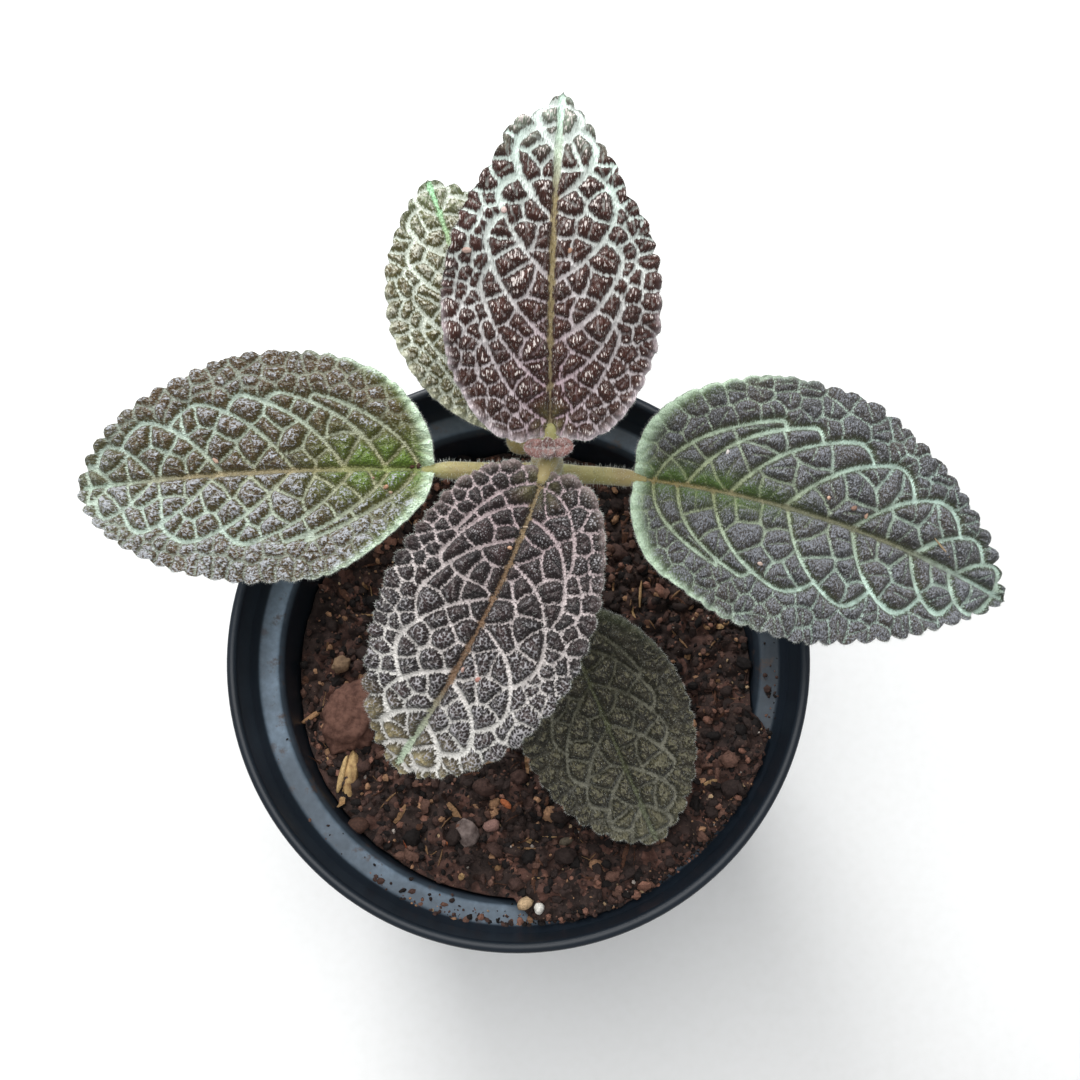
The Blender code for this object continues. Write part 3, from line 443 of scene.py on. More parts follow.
# How much of the ledge the soil covers in a direction, 0 to 1.
def spill(angle):
    deg = (math.degrees(angle) + 180.0) % 360.0 - 180.0
    start, end = soil["spillFrom"], soil["spillTo"]
    return float(ease(deg, start - 14.0, start)) * (1.0 - float(ease(deg, end, end + 14.0)))


def smoothLevel(x, y):
    toward = math.cos(math.atan2(y, x) - math.radians(soil["highSide"]))
    reach = innerRadius(pot["ledgeHeight"])
    return soil["level"] + soil["tilt"] * toward * math.hypot(x, y) / reach


# Height of the soil without its crumbs.
def soilHeight(x, y):
    r, angle = math.hypot(x, y), math.atan2(y, x)
    edge = innerRadius(pot["ledgeHeight"])
    z = smoothLevel(x, y)
    bank = max(0.0, math.cos(angle - math.radians(soil["highSide"] - 25.0))) ** 0.7
    z += soil["bank"] * bank * math.exp(-((edge - min(r, edge)) / soil["bankReach"]) ** 2)
    broad, small = soil["lumpWidths"]
    lumps = soil["lump"] * noise.noise(Vector((x / broad, y / broad, 3.1)))
    lumps += 0.6 * soil["lump"] * noise.noise(Vector((x / small, y / small, 8.7)))
    z += lumps
    onLedge = float(ease(r, edge - 5.0, edge - 1.0)) * float(ease(spill(angle), 0.0, 0.5))
    return z * (1.0 - onLedge) + (pot["ledgeHeight"] + soil["spillHeight"] + 0.4 * lumps) * onLedge


def soilEdge(angle):
    radius = wallRadius(soilHeight(42.5 * math.cos(angle), 42.5 * math.sin(angle)) - 1.0)
    over = float(ease(spill(angle), 0.55, 1.0))
    if over < 0.02:
        return radius, False
    return radius + 1.0 + soil["spillWidth"] * over * (1.0 + 0.12 * math.sin(9.0 * angle)), True


# Crumbly relief: clods of three sizes, with gaps sunk between them.
def crumble(points):
    lift = np.zeros(len(points))
    for pitch, height, seed in soil["relief"]:
        first, second = grains(points, pitch, seed)
        lift += height * (np.clip((second - first) / (0.6 * pitch), 0.0, 1.0) ** 0.6 - 0.6)
    return lift + soil["fine"] * (cloud(points, 0.9, 9) - 0.5)


# Peat and composted bark: matt and dark, red-brown on the clods, with pale fibre ends. Painted
# shade makes the gaps between them nearly black, and painted light brightens the clods' tops.
def soilMaterial():
    mat, tree = newMaterial("moist peat and bark")
    where = add(tree, "NewGeometry", {}, out="Position")
    lift = add(tree, "Attribute", {}, out="Fac", attribute_name="lift")
    clods = add(tree, "TexVoronoi", {"Vector": where, "Scale": 420.0}, out="Color")
    pick = add(tree, "SeparateColor", {"Color": clods}, out="Red")
    broad = add(tree, "TexNoise", {"Vector": where, "Scale": 110.0, "Detail": 4.0})
    fine = add(tree, "TexNoise", {"Vector": where, "Scale": 1500.0, "Detail": 4.0, "Roughness": 0.7})
    low = add(tree, "Mix", [broad, soil["dark"], soil["brown"]])
    share = add(tree, "MapRange", [pick, 0.55, 1.0, 0.0, 0.75])
    tone = add(tree, "Mix", [share, low, soil["red"]])
    bits = add(tree, "MapRange", [fine, 0.62, 0.74, 0.0, 0.7])
    tone = add(tree, "Mix", [bits, tone, soil["tan"]])
    # Painted shade and light: darker where the relief sinks into gaps, brighter on the clods' tops.
    depth = add(tree, "MapRange", [lift, -1.2, 0.9, 0.6, 1.8])
    tone = add(tree, "Mix", [1.0, tone, depth], blend_type="MULTIPLY")
    bump = add(tree, "Bump", {"Height": fine, "Strength": 0.8, "Distance": 0.0005})
    return finishMaterial(mat, {"Base Color": tone, "Roughness": 0.85, "Specular IOR Level": 0.35,
                                "Normal": bump})


def makeSoil():
    rng = random.Random(21)
    sides, step = soil["sides"], soil["spacing"]
    angles = [2 * math.pi * i / sides for i in range(sides)]
    edges = [soilEdge(a) for a in angles]
    outline = [(r * math.cos(a), r * math.sin(a)) for a, (r, _) in zip(angles, edges)]
    points = list(outline)
    reach = max(r for r, _ in edges)
    rows = int(reach / (step * 0.866)) + 1
    rim = nearTree(outline)
    for j in range(-rows, rows + 1):
        for i in range(-rows - 1, rows + 2):
            x = (i + 0.5 * (j % 2)) * step + rng.uniform(-0.2, 0.2) * step
            y = j * step * 0.866 + rng.uniform(-0.2, 0.2) * step
            if math.hypot(x, y) < reach and rim.find((x, y, 0.0))[2] > 0.5 * step:
                points.append((x, y))
    ring = list(range(sides))
    verts, _, faces, _, _, _ = delaunay_2d_cdt([Vector(p) for p in points], [], [ring], 1, 0.001)
    flat = np.array([tuple(v) for v in verts])
    height = np.array([soilHeight(x, y) for x, y in flat])
    away = np.hypot(*(flat - soil["stemFoot"]).T)
    radius = np.hypot(*flat.T)
    edgeGap = np.array([soilEdge(math.atan2(y, x))[0] for x, y in flat]) - radius
    lift = crumble(flat)
    height = height + lift * ease(edgeGap, 0.0, 1.0)
    stemLevel = smoothLevel(*soil["stemFoot"])
    share = 1.0 - ease(away, soil["stemRadius"] - 0.6, soil["stemRadius"] + 2.0)
    height = height * (1 - share) + (stemLevel - 0.5) * share
    top = np.column_stack([flat, height])

    body = [tuple(p) for p in top]
    floorZ = pot["footRise"] + pot["floor"] + soil["gap"]
    under = pot["ledgeHeight"] + 0.4 + soil["gap"]
    baseRadius = innerRadius(floorZ + 0.8) - 3 * soil["gap"]
    wallTop = wallRadius(pot["ledgeHeight"])
    layers = [ring, [], [], [], []]
    for i in ring:
        angle = math.atan2(flat[i][1], flat[i][0])
        r, z = radius[i], height[i]
        if soilEdge(angle)[1]:
            downs = [(r - 0.3, min(z, under)), (wallTop - 0.2, under)]
        else:
            downs = [(wallRadius(z - 1.0), z - 1.0), (wallRadius(z - 2.0), z - 2.0)]
        downs += [(wallRadius(60.0), 60.0), (baseRadius, floorZ)]
        for layer, (rr, zz) in zip(layers[1:], downs):
            layer.append(len(body))
            body.append((rr * math.cos(angle), rr * math.sin(angle), zz))
    faces = [tuple(f) for f in faces] + bridge(layers) + [tuple(reversed(layers[-1]))]
    mass = meshFrom("potting_soil", body, faces, [soilMaterial()])
    give(mass, "lift", np.concatenate([lift, np.zeros(len(body) - len(lift))]))
    settle(mass, "soil", "soil")
    return flat, height


soilFlat, soilTop = makeSoil()
soilTree = nearTree(soilFlat)
print("soil ready")


# Height of the finished ground at a place: on the soil, or on the pot's ledge beyond it.
def groundAt(x, y):
    r, angle = math.hypot(x, y), math.atan2(y, x)
    if r > soilEdge(angle)[0]:
        out = (r - pot["ledgeInner"]) / (pot["ledgeOuter"] - pot["ledgeInner"])
        return pot["ledgeHeight"] + 0.4 * min(max(out, 0.0), 1.0)
    return float(soilTop[soilTree.find((x, y, 0.0))[1]])


# Loose crumbs, clods and fibres on the soil, and dust on the ledge about a heading. A size is
# the least, the range above it and the power that keeps most of them small; bare are spots
# that they leave to the wood chip.
crumbs = dict(
    count=6300, size=(0.28, 0.95, 3.2), dust=900, dustSize=(0.18, 0.65, 2.5),
    dustHeading=(-62.0, 30.0), dustReach=4.4, dustSpread=1.7,
    clods=340, clodSize=(1.5, 2.6, 1.8), fibres=520, fibreLength=(1.2, 4.5, 2.2), seed=77,
    bare=((-31.8, -24.4), (-31.4, -21.6), (-31.0, -18.8)), bareReach=1.9,
    tones=("#1c1716", "#322724", "#4b3731", "#684c41", "#855f50", "#a07a5d", "#af9474", "#a69c94"),
    shares=(0.24, 0.28, 0.22, 0.12, 0.07, 0.04, 0.015, 0.015), largeTones=6,
    fibreTones=("#2e1d17", "#54382a", "#8a6a4c", "#b18f66"), fibreShares=(0.45, 0.3, 0.17, 0.08))


# Colour from the mesh, so that every crumb has a tone of its own.
def crumbMaterial(name, roughness):
    mat, tree = newMaterial(name)
    tone = add(tree, "Attribute", {}, out="Color", attribute_name="tone")
    where = add(tree, "NewGeometry", {}, out="Position")
    fine = add(tree, "TexNoise", {"Vector": where, "Scale": 2600.0, "Detail": 3.0, "Roughness": 0.7})
    shade = add(tree, "MapRange", [fine, 0.3, 0.7, 0.55, 1.3])
    mixed = add(tree, "Mix", [1.0, tone, shade], blend_type="MULTIPLY")
    bump = add(tree, "Bump", {"Height": fine, "Strength": 0.6, "Distance": 0.0002})
    return finishMaterial(mat, {"Base Color": mixed, "Roughness": roughness,
                                "Specular IOR Level": 0.3, "Normal": bump})


def ball(level):
    bm = bmesh.new()
    bmesh.ops.create_icosphere(bm, subdivisions=level, radius=1.0)
    verts = np.array([tuple(v.co) for v in bm.verts])
    faces = np.array([[v.index for v in f.verts] for f in bm.faces])
    bm.free()
    return verts, faces


# A turn by any angle about any axis.
def chanceTurn(rng):
    angle = rng.uniform(0, 6.283)
    axis = Vector((rng.uniform(-1, 1), rng.uniform(-1, 1), rng.uniform(-1, 1) + 0.01))
    return np.array(Matrix.Rotation(angle, 3, axis.normalized()))


# A place on the soil by chance, away from the stem's foot and off the wood chip.
def chancePlace(rng, reach=43.5):
    while True:
        x, y = rng.uniform(-reach, reach), rng.uniform(-reach, reach)
        onSoil = math.hypot(x, y) < soilEdge(math.atan2(y, x))[0] - 0.4
        offStem = math.dist((x, y), soil["stemFoot"]) > soil["stemRadius"] + 1.4
        offChip = all(math.dist((x, y), spot) > crumbs["bareReach"] for spot in crumbs["bare"])
        if onSoil and offStem and offChip:
            return x, y


def chanceSize(rng, sizes):
    least, span, power = sizes
    return least + span * rng.random() ** power


# A tone by chance: the palest ones are for small crumbs only.
def chanceTone(rng, small=False):
    count = len(crumbs["tones"]) if small else crumbs["largeTones"]
    return linear(rng.choices(crumbs["tones"][:count], crumbs["shares"][:count])[0])


def crumbBodies():
    rng = random.Random(crumbs["seed"])
    shape, tris = ball(1)
    spots = []
    for _ in range(crumbs["count"]):
        x, y = chancePlace(rng)
        spots.append((x, y, chanceSize(rng, crumbs["size"])))
    for _ in range(crumbs["dust"]):
        angle = math.radians(rng.gauss(*crumbs["dustHeading"]))
        inward = min(crumbs["dustReach"], abs(rng.gauss(0.0, crumbs["dustSpread"])))
        r = pot["ledgeOuter"] - 0.2 - inward
        size = chanceSize(rng, crumbs["dustSize"])
        spots.append((r * math.cos(angle), r * math.sin(angle), size))
    for x, y, size in spots:
        tone = chanceTone(rng, size <= 0.6)
        dim = rng.uniform(0.75, 1.25)
        stretch = np.array([rng.uniform(0.6, 1.3), rng.uniform(0.6, 1.1), rng.uniform(0.45, 0.9)])
        knocks = 1.0 + np.array([rng.uniform(-0.28, 0.22) for _ in shape])
        one = shape * knocks[:, None] * stretch * size
        one = one @ chanceTurn(rng).T
        one += (x, y, groundAt(x, y) + 0.35 * size * rng.random())
        yield one, tris, (*[c * dim for c in tone[:3]], 1.0)


# A stone or chip: a round block knocked into shape by noise, flat where it lies.
def lumpMesh(size, seed, rough, detail=4):
    shape, tris = ball(detail)
    out = []
    for v in shape:
        p = Vector(v)
        bump = 1.0 + 0.20 * noise.noise(p * 1.55 + Vector((seed, 0.0, 0.0)))
        bump += rough * noise.fractal(p * 3.4 + Vector((0.0, seed, 0.0)), 0.8, 2.1, 4)
        q = p * bump * 0.5
        q.z = max(q.z, -0.22)
        out.append((q.x * size[0], q.y * size[1], (q.z + 0.22) * size[2] * 1.35))
    return np.array(out), tris


# Clods of bark and matted peat, half sunk, which leave dark gaps between them.
def clodBodies():
    rng = random.Random(crumbs["seed"] + 5)
    for number in range(crumbs["clods"]):
        x, y = chancePlace(rng)
        size = chanceSize(rng, crumbs["clodSize"])
        sizes = (size, size * rng.uniform(0.55, 0.95), size * rng.uniform(0.35, 0.7))
        body, shell = lumpMesh(sizes, number + 40, 0.30, 3)
        body = body @ chanceTurn(rng).T
        body += (x, y, groundAt(x, y) + 0.12 * size * rng.random())
        yield body, shell, chanceTone(rng)


# A tapered strip bent along a line: root hairs, needles and splinters in the soil.
def sliver(points, widths, heights):
    verts, faces = [], []
    count = len(points)
    points = np.array(points)
    for i, point in enumerate(points):
        ahead = points[min(i + 1, count - 1)] - points[max(i - 1, 0)]
        side = np.cross(ahead, (0, 0, 1.0))
        side /= np.linalg.norm(side) + 1e-9
        w, h = widths[i] / 2, heights[i] / 2
        verts += [point + side * w, point + (0, 0, h), point - side * w, point - (0, 0, h)]
    for i in range(count - 1):
        for k in range(4):
            a, b = 4 * i + k, 4 * i + (k + 1) % 4
            faces += [(a, b, b + 4), (a, b + 4, a + 4)]
    last = 4 * (count - 1)
    faces += [(0, 3, 2), (0, 2, 1), (last, last + 1, last + 2), (last, last + 2, last + 3)]
    return np.array(verts), np.array(faces)


def fibreBodies():
    rng = random.Random(crumbs["seed"] + 1)
    for _ in range(crumbs["fibres"]):
        x, y = chancePlace(rng, 42.0)
        long = chanceSize(rng, crumbs["fibreLength"])
        thin = rng.uniform(0.12, 0.5) if rng.random() < 0.75 else rng.uniform(0.6, 1.3)
        heading, bend = rng.uniform(0, 6.283), rng.uniform(-0.5, 0.5)
        line = []
        for k in range(4):
            t = k / 3
            px = x + math.cos(heading + bend * t) * long * (t - 0.5)
            py = y + math.sin(heading + bend * t) * long * (t - 0.5)
            if math.hypot(px, py) > 43.0:
                break
            line.append((px, py, groundAt(px, py) + 0.25 + rng.uniform(0.0, 0.3)))
        if len(line) < 4:
            continue
        body, shell = sliver(line, [thin * 0.6, thin, thin, thin * 0.4], [0.3, 0.34, 0.34, 0.2])
        yield body, shell, linear(rng.choices(crumbs["fibreTones"], crumbs["fibreShares"])[0])


gather("soil_crumbs", "soil", crumbBodies(), crumbMaterial("peat crumbs and bark bits", 0.85),
       smooth=False)
gather("soil_clods", "soil", clodBodies(), crumbMaterial("clods of peat and bark", 0.85))
gather("soil_fibres", "soil", fibreBodies(), crumbMaterial("coir fibre and splinters", 0.8),
       smooth=False)
print("crumbs ready")


# Larger loose pieces

loose = {
    "bark_lump": dict(place=(-31.3, -10.5, 68.5), size=(13.5, 10.5, 5.2), turn=70.0, seed=2,
                      tone="#755448", other="#4f352d", slot="bark", rough=0.16),
    "wood_chip": dict(place=(-31.4, -21.6, 69.5), size=(8.6, 2.8, 2.0), turn=82.0, seed=4,
                      tone="#cbab78", other="#8a6a48", slot="wood_chip", rough=0.07),
    "grey_pebble": dict(place=(-9.5, -32.0, 71.3), size=(5.4, 4.2, 2.8), turn=110.0, seed=6,
                        tone="#8a7b76", other="#5e514d", slot="pebble", rough=0.07),
    "tan_pebble": dict(place=(-34.0, -0.7, 68.5), size=(3.6, 3.0, 2.2), turn=40.0, seed=8,
                       tone="#93795f", other="#6b5644", slot="pebble", rough=0.1),
}

# Small ones that the solids leave out: place, size, turn and tone
strays = [
    ((-39.3, -10.6), (4.8, 1.1, 0.9), 35.0, "#a07a58"),      # twig by the left wall
    ((-32.8, -21.5), (7.6, 1.2, 1.0), 78.0, "#c7a877"),      # straw on the chip
    ((-5.0, -30.7), (3.4, 2.4, 1.8), 20.0, "#96736a"),       # pink grit
    ((-2.4, -26.8), (2.6, 1.2, 0.9), -40.0, "#b0653f"),      # rust flakes
    ((-12.6, -33.2), (2.2, 1.2, 0.9), 60.0, "#a65f3c"),
    ((-29.3, -30.7), (4.2, 3.2, 2.0), 10.0, "#4b342b"),      # bark bits
    ((1.2, -44.1), (3.0, 2.2, 1.8), 30.0, "#c5a884"),        # stones on the ledge
    ((3.7, -44.9), (2.2, 1.8, 1.4), 75.0, "#e6e2d9"),
    ((8.5, -33.5), (2.6, 1.5, 1.2), 15.0, "#5c5346"),
    ((-20.5, -33.8), (3.4, 1.0, 0.9), 105.0, "#8a4a30"),
]


# Dry bark, split wood or grit: matt, mottled between two tones of its own.
def looseMaterial(name, tone, other, grain=700.0):
    mat, tree = newMaterial(name)
    where = add(tree, "NewGeometry", {}, out="Position")
    mottle = add(tree, "TexNoise", {"Vector": where, "Scale": grain, "Detail": 5.0,
                                    "Roughness": 0.65})
    share = add(tree, "MapRange", [mottle, 0.35, 0.62])
    color = add(tree, "Mix", [share, other, tone])
    bump = add(tree, "Bump", {"Height": mottle, "Strength": 0.8, "Distance": 0.0004})
    return finishMaterial(mat, {"Base Color": color, "Roughness": 0.88, "Specular IOR Level": 0.3,
                                "Normal": bump})


def turned(degrees):
    angle = math.radians(degrees)
    return np.array([(math.cos(angle), math.sin(angle), 0), (-math.sin(angle), math.cos(angle), 0),
                     (0, 0, 1)])


def makeLoose():
    finishes = {"bark": "weathered pine bark", "wood_chip": "split straw wood",
                "pebble": "river grit"}
    for name, piece in loose.items():
        verts, tris = lumpMesh(piece["size"], piece["seed"], piece["rough"])
        x, y, level = piece["place"]
        verts = verts @ turned(piece["turn"]) + (x, y, level + 0.05)
        mat = looseMaterial(f"{finishes[piece['slot']]} {name}", piece["tone"], piece["other"])
        settle(meshFrom(name + "_look", verts, tris, [mat]), piece["slot"], name)


def strayBodies():
    for number, ((x, y), size, heading, tone) in enumerate(strays):
        body, shell = lumpMesh(size, number + 20, 0.12, 2)
        yield body @ turned(heading) + (x, y, groundAt(x, y) + 0.5), shell, linear(tone)


makeLoose()
gather("grit_and_flakes", "pebble", strayBodies(), crumbMaterial("grit and wood flakes", 0.8))
print("loose pieces ready")


# Every blade: puff lifts the cells and sink presses the net in between, with finer grain on top;
# rib and underVein stand out below. A side vein runs at archAngle once it is loopReach of the
# way out, and its arch meets the next vein at joint. Cells beyond the arches are small times
# the size of the others. The centres of all cells are evened out `evened` times.
blade = dict(
    thick=0.7, roundEdge=0.7, puff=1.0, sink=1.35, cellRise=0.3, grainPitch=0.95, grainHeight=0.22,
    fineHeight=0.06, rib=0.5, underVein=0.28, toothPitch=3.1, small=0.72, evened=2, loopReach=0.68,
    archAngle=14.0, joint=0.8, spacing=0.25, underSpacing=0.6, rimStep=0.3)

# Leaves. Shape: base is where the midrib starts, heading is from +X towards +Y, turn its
# swing on the way to the tip, pitch the slope at base and tip; fold lifts the two halves like
# a book and curl bends them down. Veins are the places along the midrib where side veins
# leave it, at the angles open. Looks: cell, cell2 and tip are the skin in the cells and at the
# tip; shore is painted shade, the skin darkened in the grooves beside the veins; silver is its
# bloom of hairs. The bloom hides the left and right halves by cover, with tipCover and endCover
# added towards the tip, and slopes adds a painted sheen, more bloom where the skin faces the
# light. It lies in spots (pits per mm, dots their strength at base and tip) and in curls (worms
# per mm, ripple their strength), drawn out by stretch, with edges as soft as crisp. Veins of the
# order faintFrom and finer are faint; wide widens them from base to tip, soft blurs them,
# veinFade thins them in places and outer turns vein into vein2 away from the midrib.
# greenReach and lobeGreen spread green by the midrib and on the lobes, marginReach and fuzz the
# pale margin. Specks are soil: their spots, sizes, headings and tones.
leaves = {
    "leaf_left": dict(
        base=(-12.6, 23.1, 120.0), heading=179.9, turn=3.9, pitch=(4.0, -14.0),
        length=57.3, width=37.2, widest=0.41, basePower=0.57, tipPower=0.66, lobe=1.8,
        fold=12.0, curl=-20.0, tooth=0.32, wave=0.5, seed=3,
        bumpsLeft=((0.4, -0.04, 0.4), (0.08, -0.14, 0.1)),
        bumpsRight=((0.4, 0.04, 0.4), (0.1, 0.05, 0.1)), openLeft=50.0, openRight=52.0,
        veinsLeft=(0.05, 0.12, 0.22, 0.39, 0.60, 0.78, 0.91),
        veinsRight=(0.04, 0.13, 0.24, 0.38, 0.58, 0.77, 0.90), slot="leaf_olive",
        cellSize=4.0, faintFrom=3, wide=(1.4, 1.7), soft=0.28, faint=0.42, veinFade=0.7,
        cell="#43351c", cell2="#523f24", shore="#484420", silver="#a6a9ae", cover=(0.50, 0.26),
        tipCover=0.0, endCover=-0.06, slopes=0.26, pits=2.9, worms=2.2, ripple=1.5, crisp=0.32,
        dots=(0.6, 0.6), stretch=1.2, vein="#a09d7a", vein2="#bed0c3", outer=0.55,
        midrib=("#93a060", "#a99c7a", "#bcd0bf"), green="#5f7a2a", greenReach=(0.34, 5.5),
        margin="#dcf2d8", lobeGreen=1.0, fuzz=1.0, marginReach=0.14, tip="#5f604b",
        specks=(
            ((7.4, 3.3), (1.1, 0.7, 0.5), 40.0, "#a8826a"),
            ((6.7, 4.1), (0.7, 0.5, 0.4), 0.0, "#ab9480"),
            ((34.1, -2.2), (1.2, 0.7, 0.3), -45.0, "#b79a88"),
            ((3.5, -0.4), (0.9, 0.6, 0.5), 20.0, "#4a3126"),
            ((2.5, -0.6), (1.0, 0.7, 0.5), 70.0, "#3d2a22"),
            ((9.4, 1.6), (0.6, 0.4, 0.3), 0.0, "#96766a"))),
    "leaf_right": dict(
        base=(18.5, 22.0, 119.0), heading=-7.4, turn=-20.2, pitch=(4.0, -16.0),
        length=62.5, width=40.5, widest=0.41, basePower=0.47, tipPower=0.94, lobe=2.4,
        fold=12.0, curl=-22.0, tooth=0.45, wave=0.6, seed=5,
        bumpsLeft=((0.80, -0.07, 0.16), (0.42, 0.025, 0.25)), bumpsRight=((0.06, 0.08, 0.08),),
        openLeft=52.0, openRight=72.0,
        veinsLeft=(0.05, 0.13, 0.24, 0.38, 0.56, 0.73, 0.85),
        veinsRight=(0.05, 0.11, 0.20, 0.39, 0.56, 0.72, 0.83), slot="leaf_slate",
        cellSize=4.6, faintFrom=2, wide=(1.2, 1.9), soft=0.28, faint=0.7, veinFade=0.6,
        cell="#353433", cell2="#413a33", shore="#3e4526", silver="#83868d", cover=(0.28, 0.34),
        tipCover=-0.1, endCover=0.0, slopes=0.3, pits=2.4, worms=2.6, ripple=1.7, crisp=0.3,
        dots=(0.7, 0.7), stretch=0.5, vein="#a4ab80", vein2="#d6f0e2", outer=0.55,
        midrib=("#97875a", "#8b8b70", "#c4ddd0"), green="#547030", greenReach=(0.42, 2.8),
        margin="#d8f0d4", lobeGreen=1.0, fuzz=1.1, marginReach=0.16, tip="#43484a",
        specks=(
            ((29.9, 3.2), (0.8, 0.6, 0.5), 60.0, "#bc9c88"),
            ((33.9, 2.9), (1.1, 0.8, 0.5), 20.0, "#856a5c"),
            ((36.3, 2.6), (1.1, 0.6, 0.5), 80.0, "#bb9a84"),
            ((21.8, -10.6), (0.9, 0.6, 0.4), -20.0, "#c4ada0"),
            ((49.2, 2.5), (4.4, 0.35, 0.3), -50.0, "#a08a6c"),
            ((13.6, 6.2), (0.9, 0.6, 0.4), 70.0, "#d8d0cc"))),
    "leaf_back": dict(
        base=(5.4, 24.9, 131.6), heading=91.2, turn=-6.6, pitch=(34.0, 2.0),
        length=50.2, width=31.4, widest=0.38, basePower=0.45, tipPower=1.02, lobe=3.5,
        fold=10.0, curl=-20.0, tooth=0.28, wave=0.9, seed=7,
        bumpsLeft=((0.88, 0.26, 0.05),), bumpsRight=((0.71, -0.10, 0.05), (0.85, -0.14, 0.09)),
        openLeft=46.0, openRight=58.0,
        veinsLeft=(0.04, 0.14, 0.275, 0.45, 0.62, 0.82),
        veinsRight=(0.05, 0.15, 0.27, 0.44, 0.68, 0.84), slot="leaf_maroon",
        cellSize=3.6, faintFrom=4, wide=(0.9, 4.2), soft=0.22, faint=0.3, veinFade=0.7,
        cell="#34180f", cell2="#462013", shore="#371e18", silver="#d6ccc6", cover=(0.21, 0.16),
        tipCover=0.15, endCover=0.2, slopes=0.22, pits=3.2, worms=3.0, ripple=1.1, crisp=0.18,
        dots=(-1.3, -1.0), stretch=3.0, vein="#cfb6be", vein2="#e6f8ee", outer=0.3,
        midrib=("#84765a", "#9a8b62", "#ddf8e6"), green="#6e6a3c", greenReach=(0.1, 2.0),
        margin="#cdc0c4", lobeGreen=0.1, fuzz=0.2, marginReach=0.2, tip="#b0c4ae",
        specks=(
            ((32.2, 7.1), (1.3, 1.0, 0.4), 30.0, "#c8b0aa"),
            ((26.9, -2.5), (0.9, 0.7, 0.5), 50.0, "#b48e78"),
            ((26.4, 12.2), (1.5, 0.9, 0.4), 0.0, "#b59a8e"))),
    "leaf_front": dict(
        base=(4.5, 19.5, 131.0), heading=-106.0, turn=-24.8, pitch=(14.0, -42.0),
        length=51.3, width=30.7, widest=0.46, basePower=0.41, tipPower=0.72, lobe=2.2,
        fold=8.0, curl=-26.0, tooth=0.30, wave=0.4, seed=11,
        bumpsLeft=((0.18, -0.05, 0.2),), bumpsRight=(), openLeft=70.0, openRight=58.0,
        veinsLeft=(0.05, 0.15, 0.29, 0.48, 0.66, 0.81, 0.92),
        veinsRight=(0.04, 0.11, 0.22, 0.40, 0.63, 0.77, 0.89), slot="leaf_dark",
        cellSize=3.5, faintFrom=4, wide=(1.2, 2.9), soft=0.18, faint=0.2, veinFade=0.75,
        cell="#1b1617", cell2="#321f1e", shore="#181313", silver="#969395", cover=(0.28, 0.12),
        tipCover=0.24, endCover=-0.5, slopes=0.1, pits=2.5, worms=2.4, ripple=0.5, crisp=0.24,
        dots=(-1.5, 2.0), stretch=1.0, vein="#b5a0a2", vein2="#fcfcf4", outer=0.1,
        midrib=("#857352", "#86694f", "#d2e4c8"), green="#5f5a38", greenReach=(0.12, 3.0),
        margin="#8f7f7c", lobeGreen=0.2, fuzz=0.3, marginReach=0.12, tip="#b0a274",
        specks=(
            ((13.1, -0.9), (0.8, 0.6, 0.5), 0.0, "#bf987c"),
            ((9.1, 0.3), (2.6, 0.3, 0.25), -5.0, "#b8a48c"),
            ((31.7, 3.5), (1.0, 0.7, 0.4), 30.0, "#a8776c"),
            ((31.4, 1.1), (0.9, 0.5, 0.4), 70.0, "#b8958a"))),
    "leaf_low_back": dict(
        base=(-0.8, 32.8, 110.0), heading=108.6, turn=2.0, pitch=(30.0, 4.0),
        length=43.1, width=27.2, widest=0.48, basePower=0.70, tipPower=0.90, lobe=1.2,
        fold=10.0, curl=-18.0, tooth=0.30, wave=0.6, seed=13,
        bumpsLeft=(), bumpsRight=(), openLeft=56.0, openRight=52.0,
        veinsLeft=(0.06, 0.17, 0.32, 0.50, 0.68, 0.85),
        veinsRight=(0.06, 0.18, 0.33, 0.50, 0.69, 0.86), slot="leaf_bronze",
        cellSize=3.4, faintFrom=4, wide=(1.4, 2.8), soft=0.24, faint=0.3, veinFade=0.75,
        cell="#564a2c", cell2="#6c5f3e", shore="#53532b", silver="#c2c1b2", cover=(0.44, 0.42),
        tipCover=0.1, endCover=0.0, slopes=0.3, pits=2.9, worms=2.2, ripple=1.2, crisp=0.24,
        dots=(-0.8, 0.8), stretch=1.6, vein="#d2d5c4", vein2="#ecf4e8", outer=0.4,
        midrib=("#8c8a58", "#a7b487", "#a9dcae"), green="#7d8550", greenReach=(0.15, 3.0),
        margin="#c2c4ab", lobeGreen=0.6, fuzz=0.5, marginReach=0.5, tip="#8fa07c"),
    # Its colours are dark and dull: partly its own older skin, partly painted shade from the leaves
    # above it.
    "leaf_low_front": dict(
        base=(7.3, 5.0, 93.0), heading=-67.2, turn=1.9, pitch=(-6.0, -22.0),
        length=43.4, width=29.2, widest=0.47, basePower=0.55, tipPower=0.74, lobe=1.8,
        fold=8.0, curl=-20.0, tooth=0.34, wave=0.5, seed=17,
        bumpsLeft=(), bumpsRight=(), openLeft=54.0, openRight=54.0,
        veinsLeft=(0.05, 0.15, 0.30, 0.48, 0.66, 0.83),
        veinsRight=(0.05, 0.16, 0.31, 0.49, 0.67, 0.84), slot="leaf_shade",
        cellSize=4.0, faintFrom=3, wide=(1.2, 1.8), soft=0.30, faint=0.3, veinFade=0.4,
        cell="#242119", cell2="#332e20", shore="#262618", silver="#69654f", cover=(0.26, 0.28),
        tipCover=0.35, endCover=0.0, slopes=0.35, pits=2.6, worms=2.0, ripple=1.3, crisp=0.25,
        dots=(0.6, 0.6), stretch=1.2, vein="#56543f", vein2="#8d8b7b", outer=0.4,
        midrib=("#54543a", "#5a5d40", "#747960"), green="#4c5a2e", greenReach=(0.12, 3.0),
        margin="#5d6050", lobeGreen=0.6, fuzz=0.4, marginReach=0.2, tip="#5c5a44"),
}


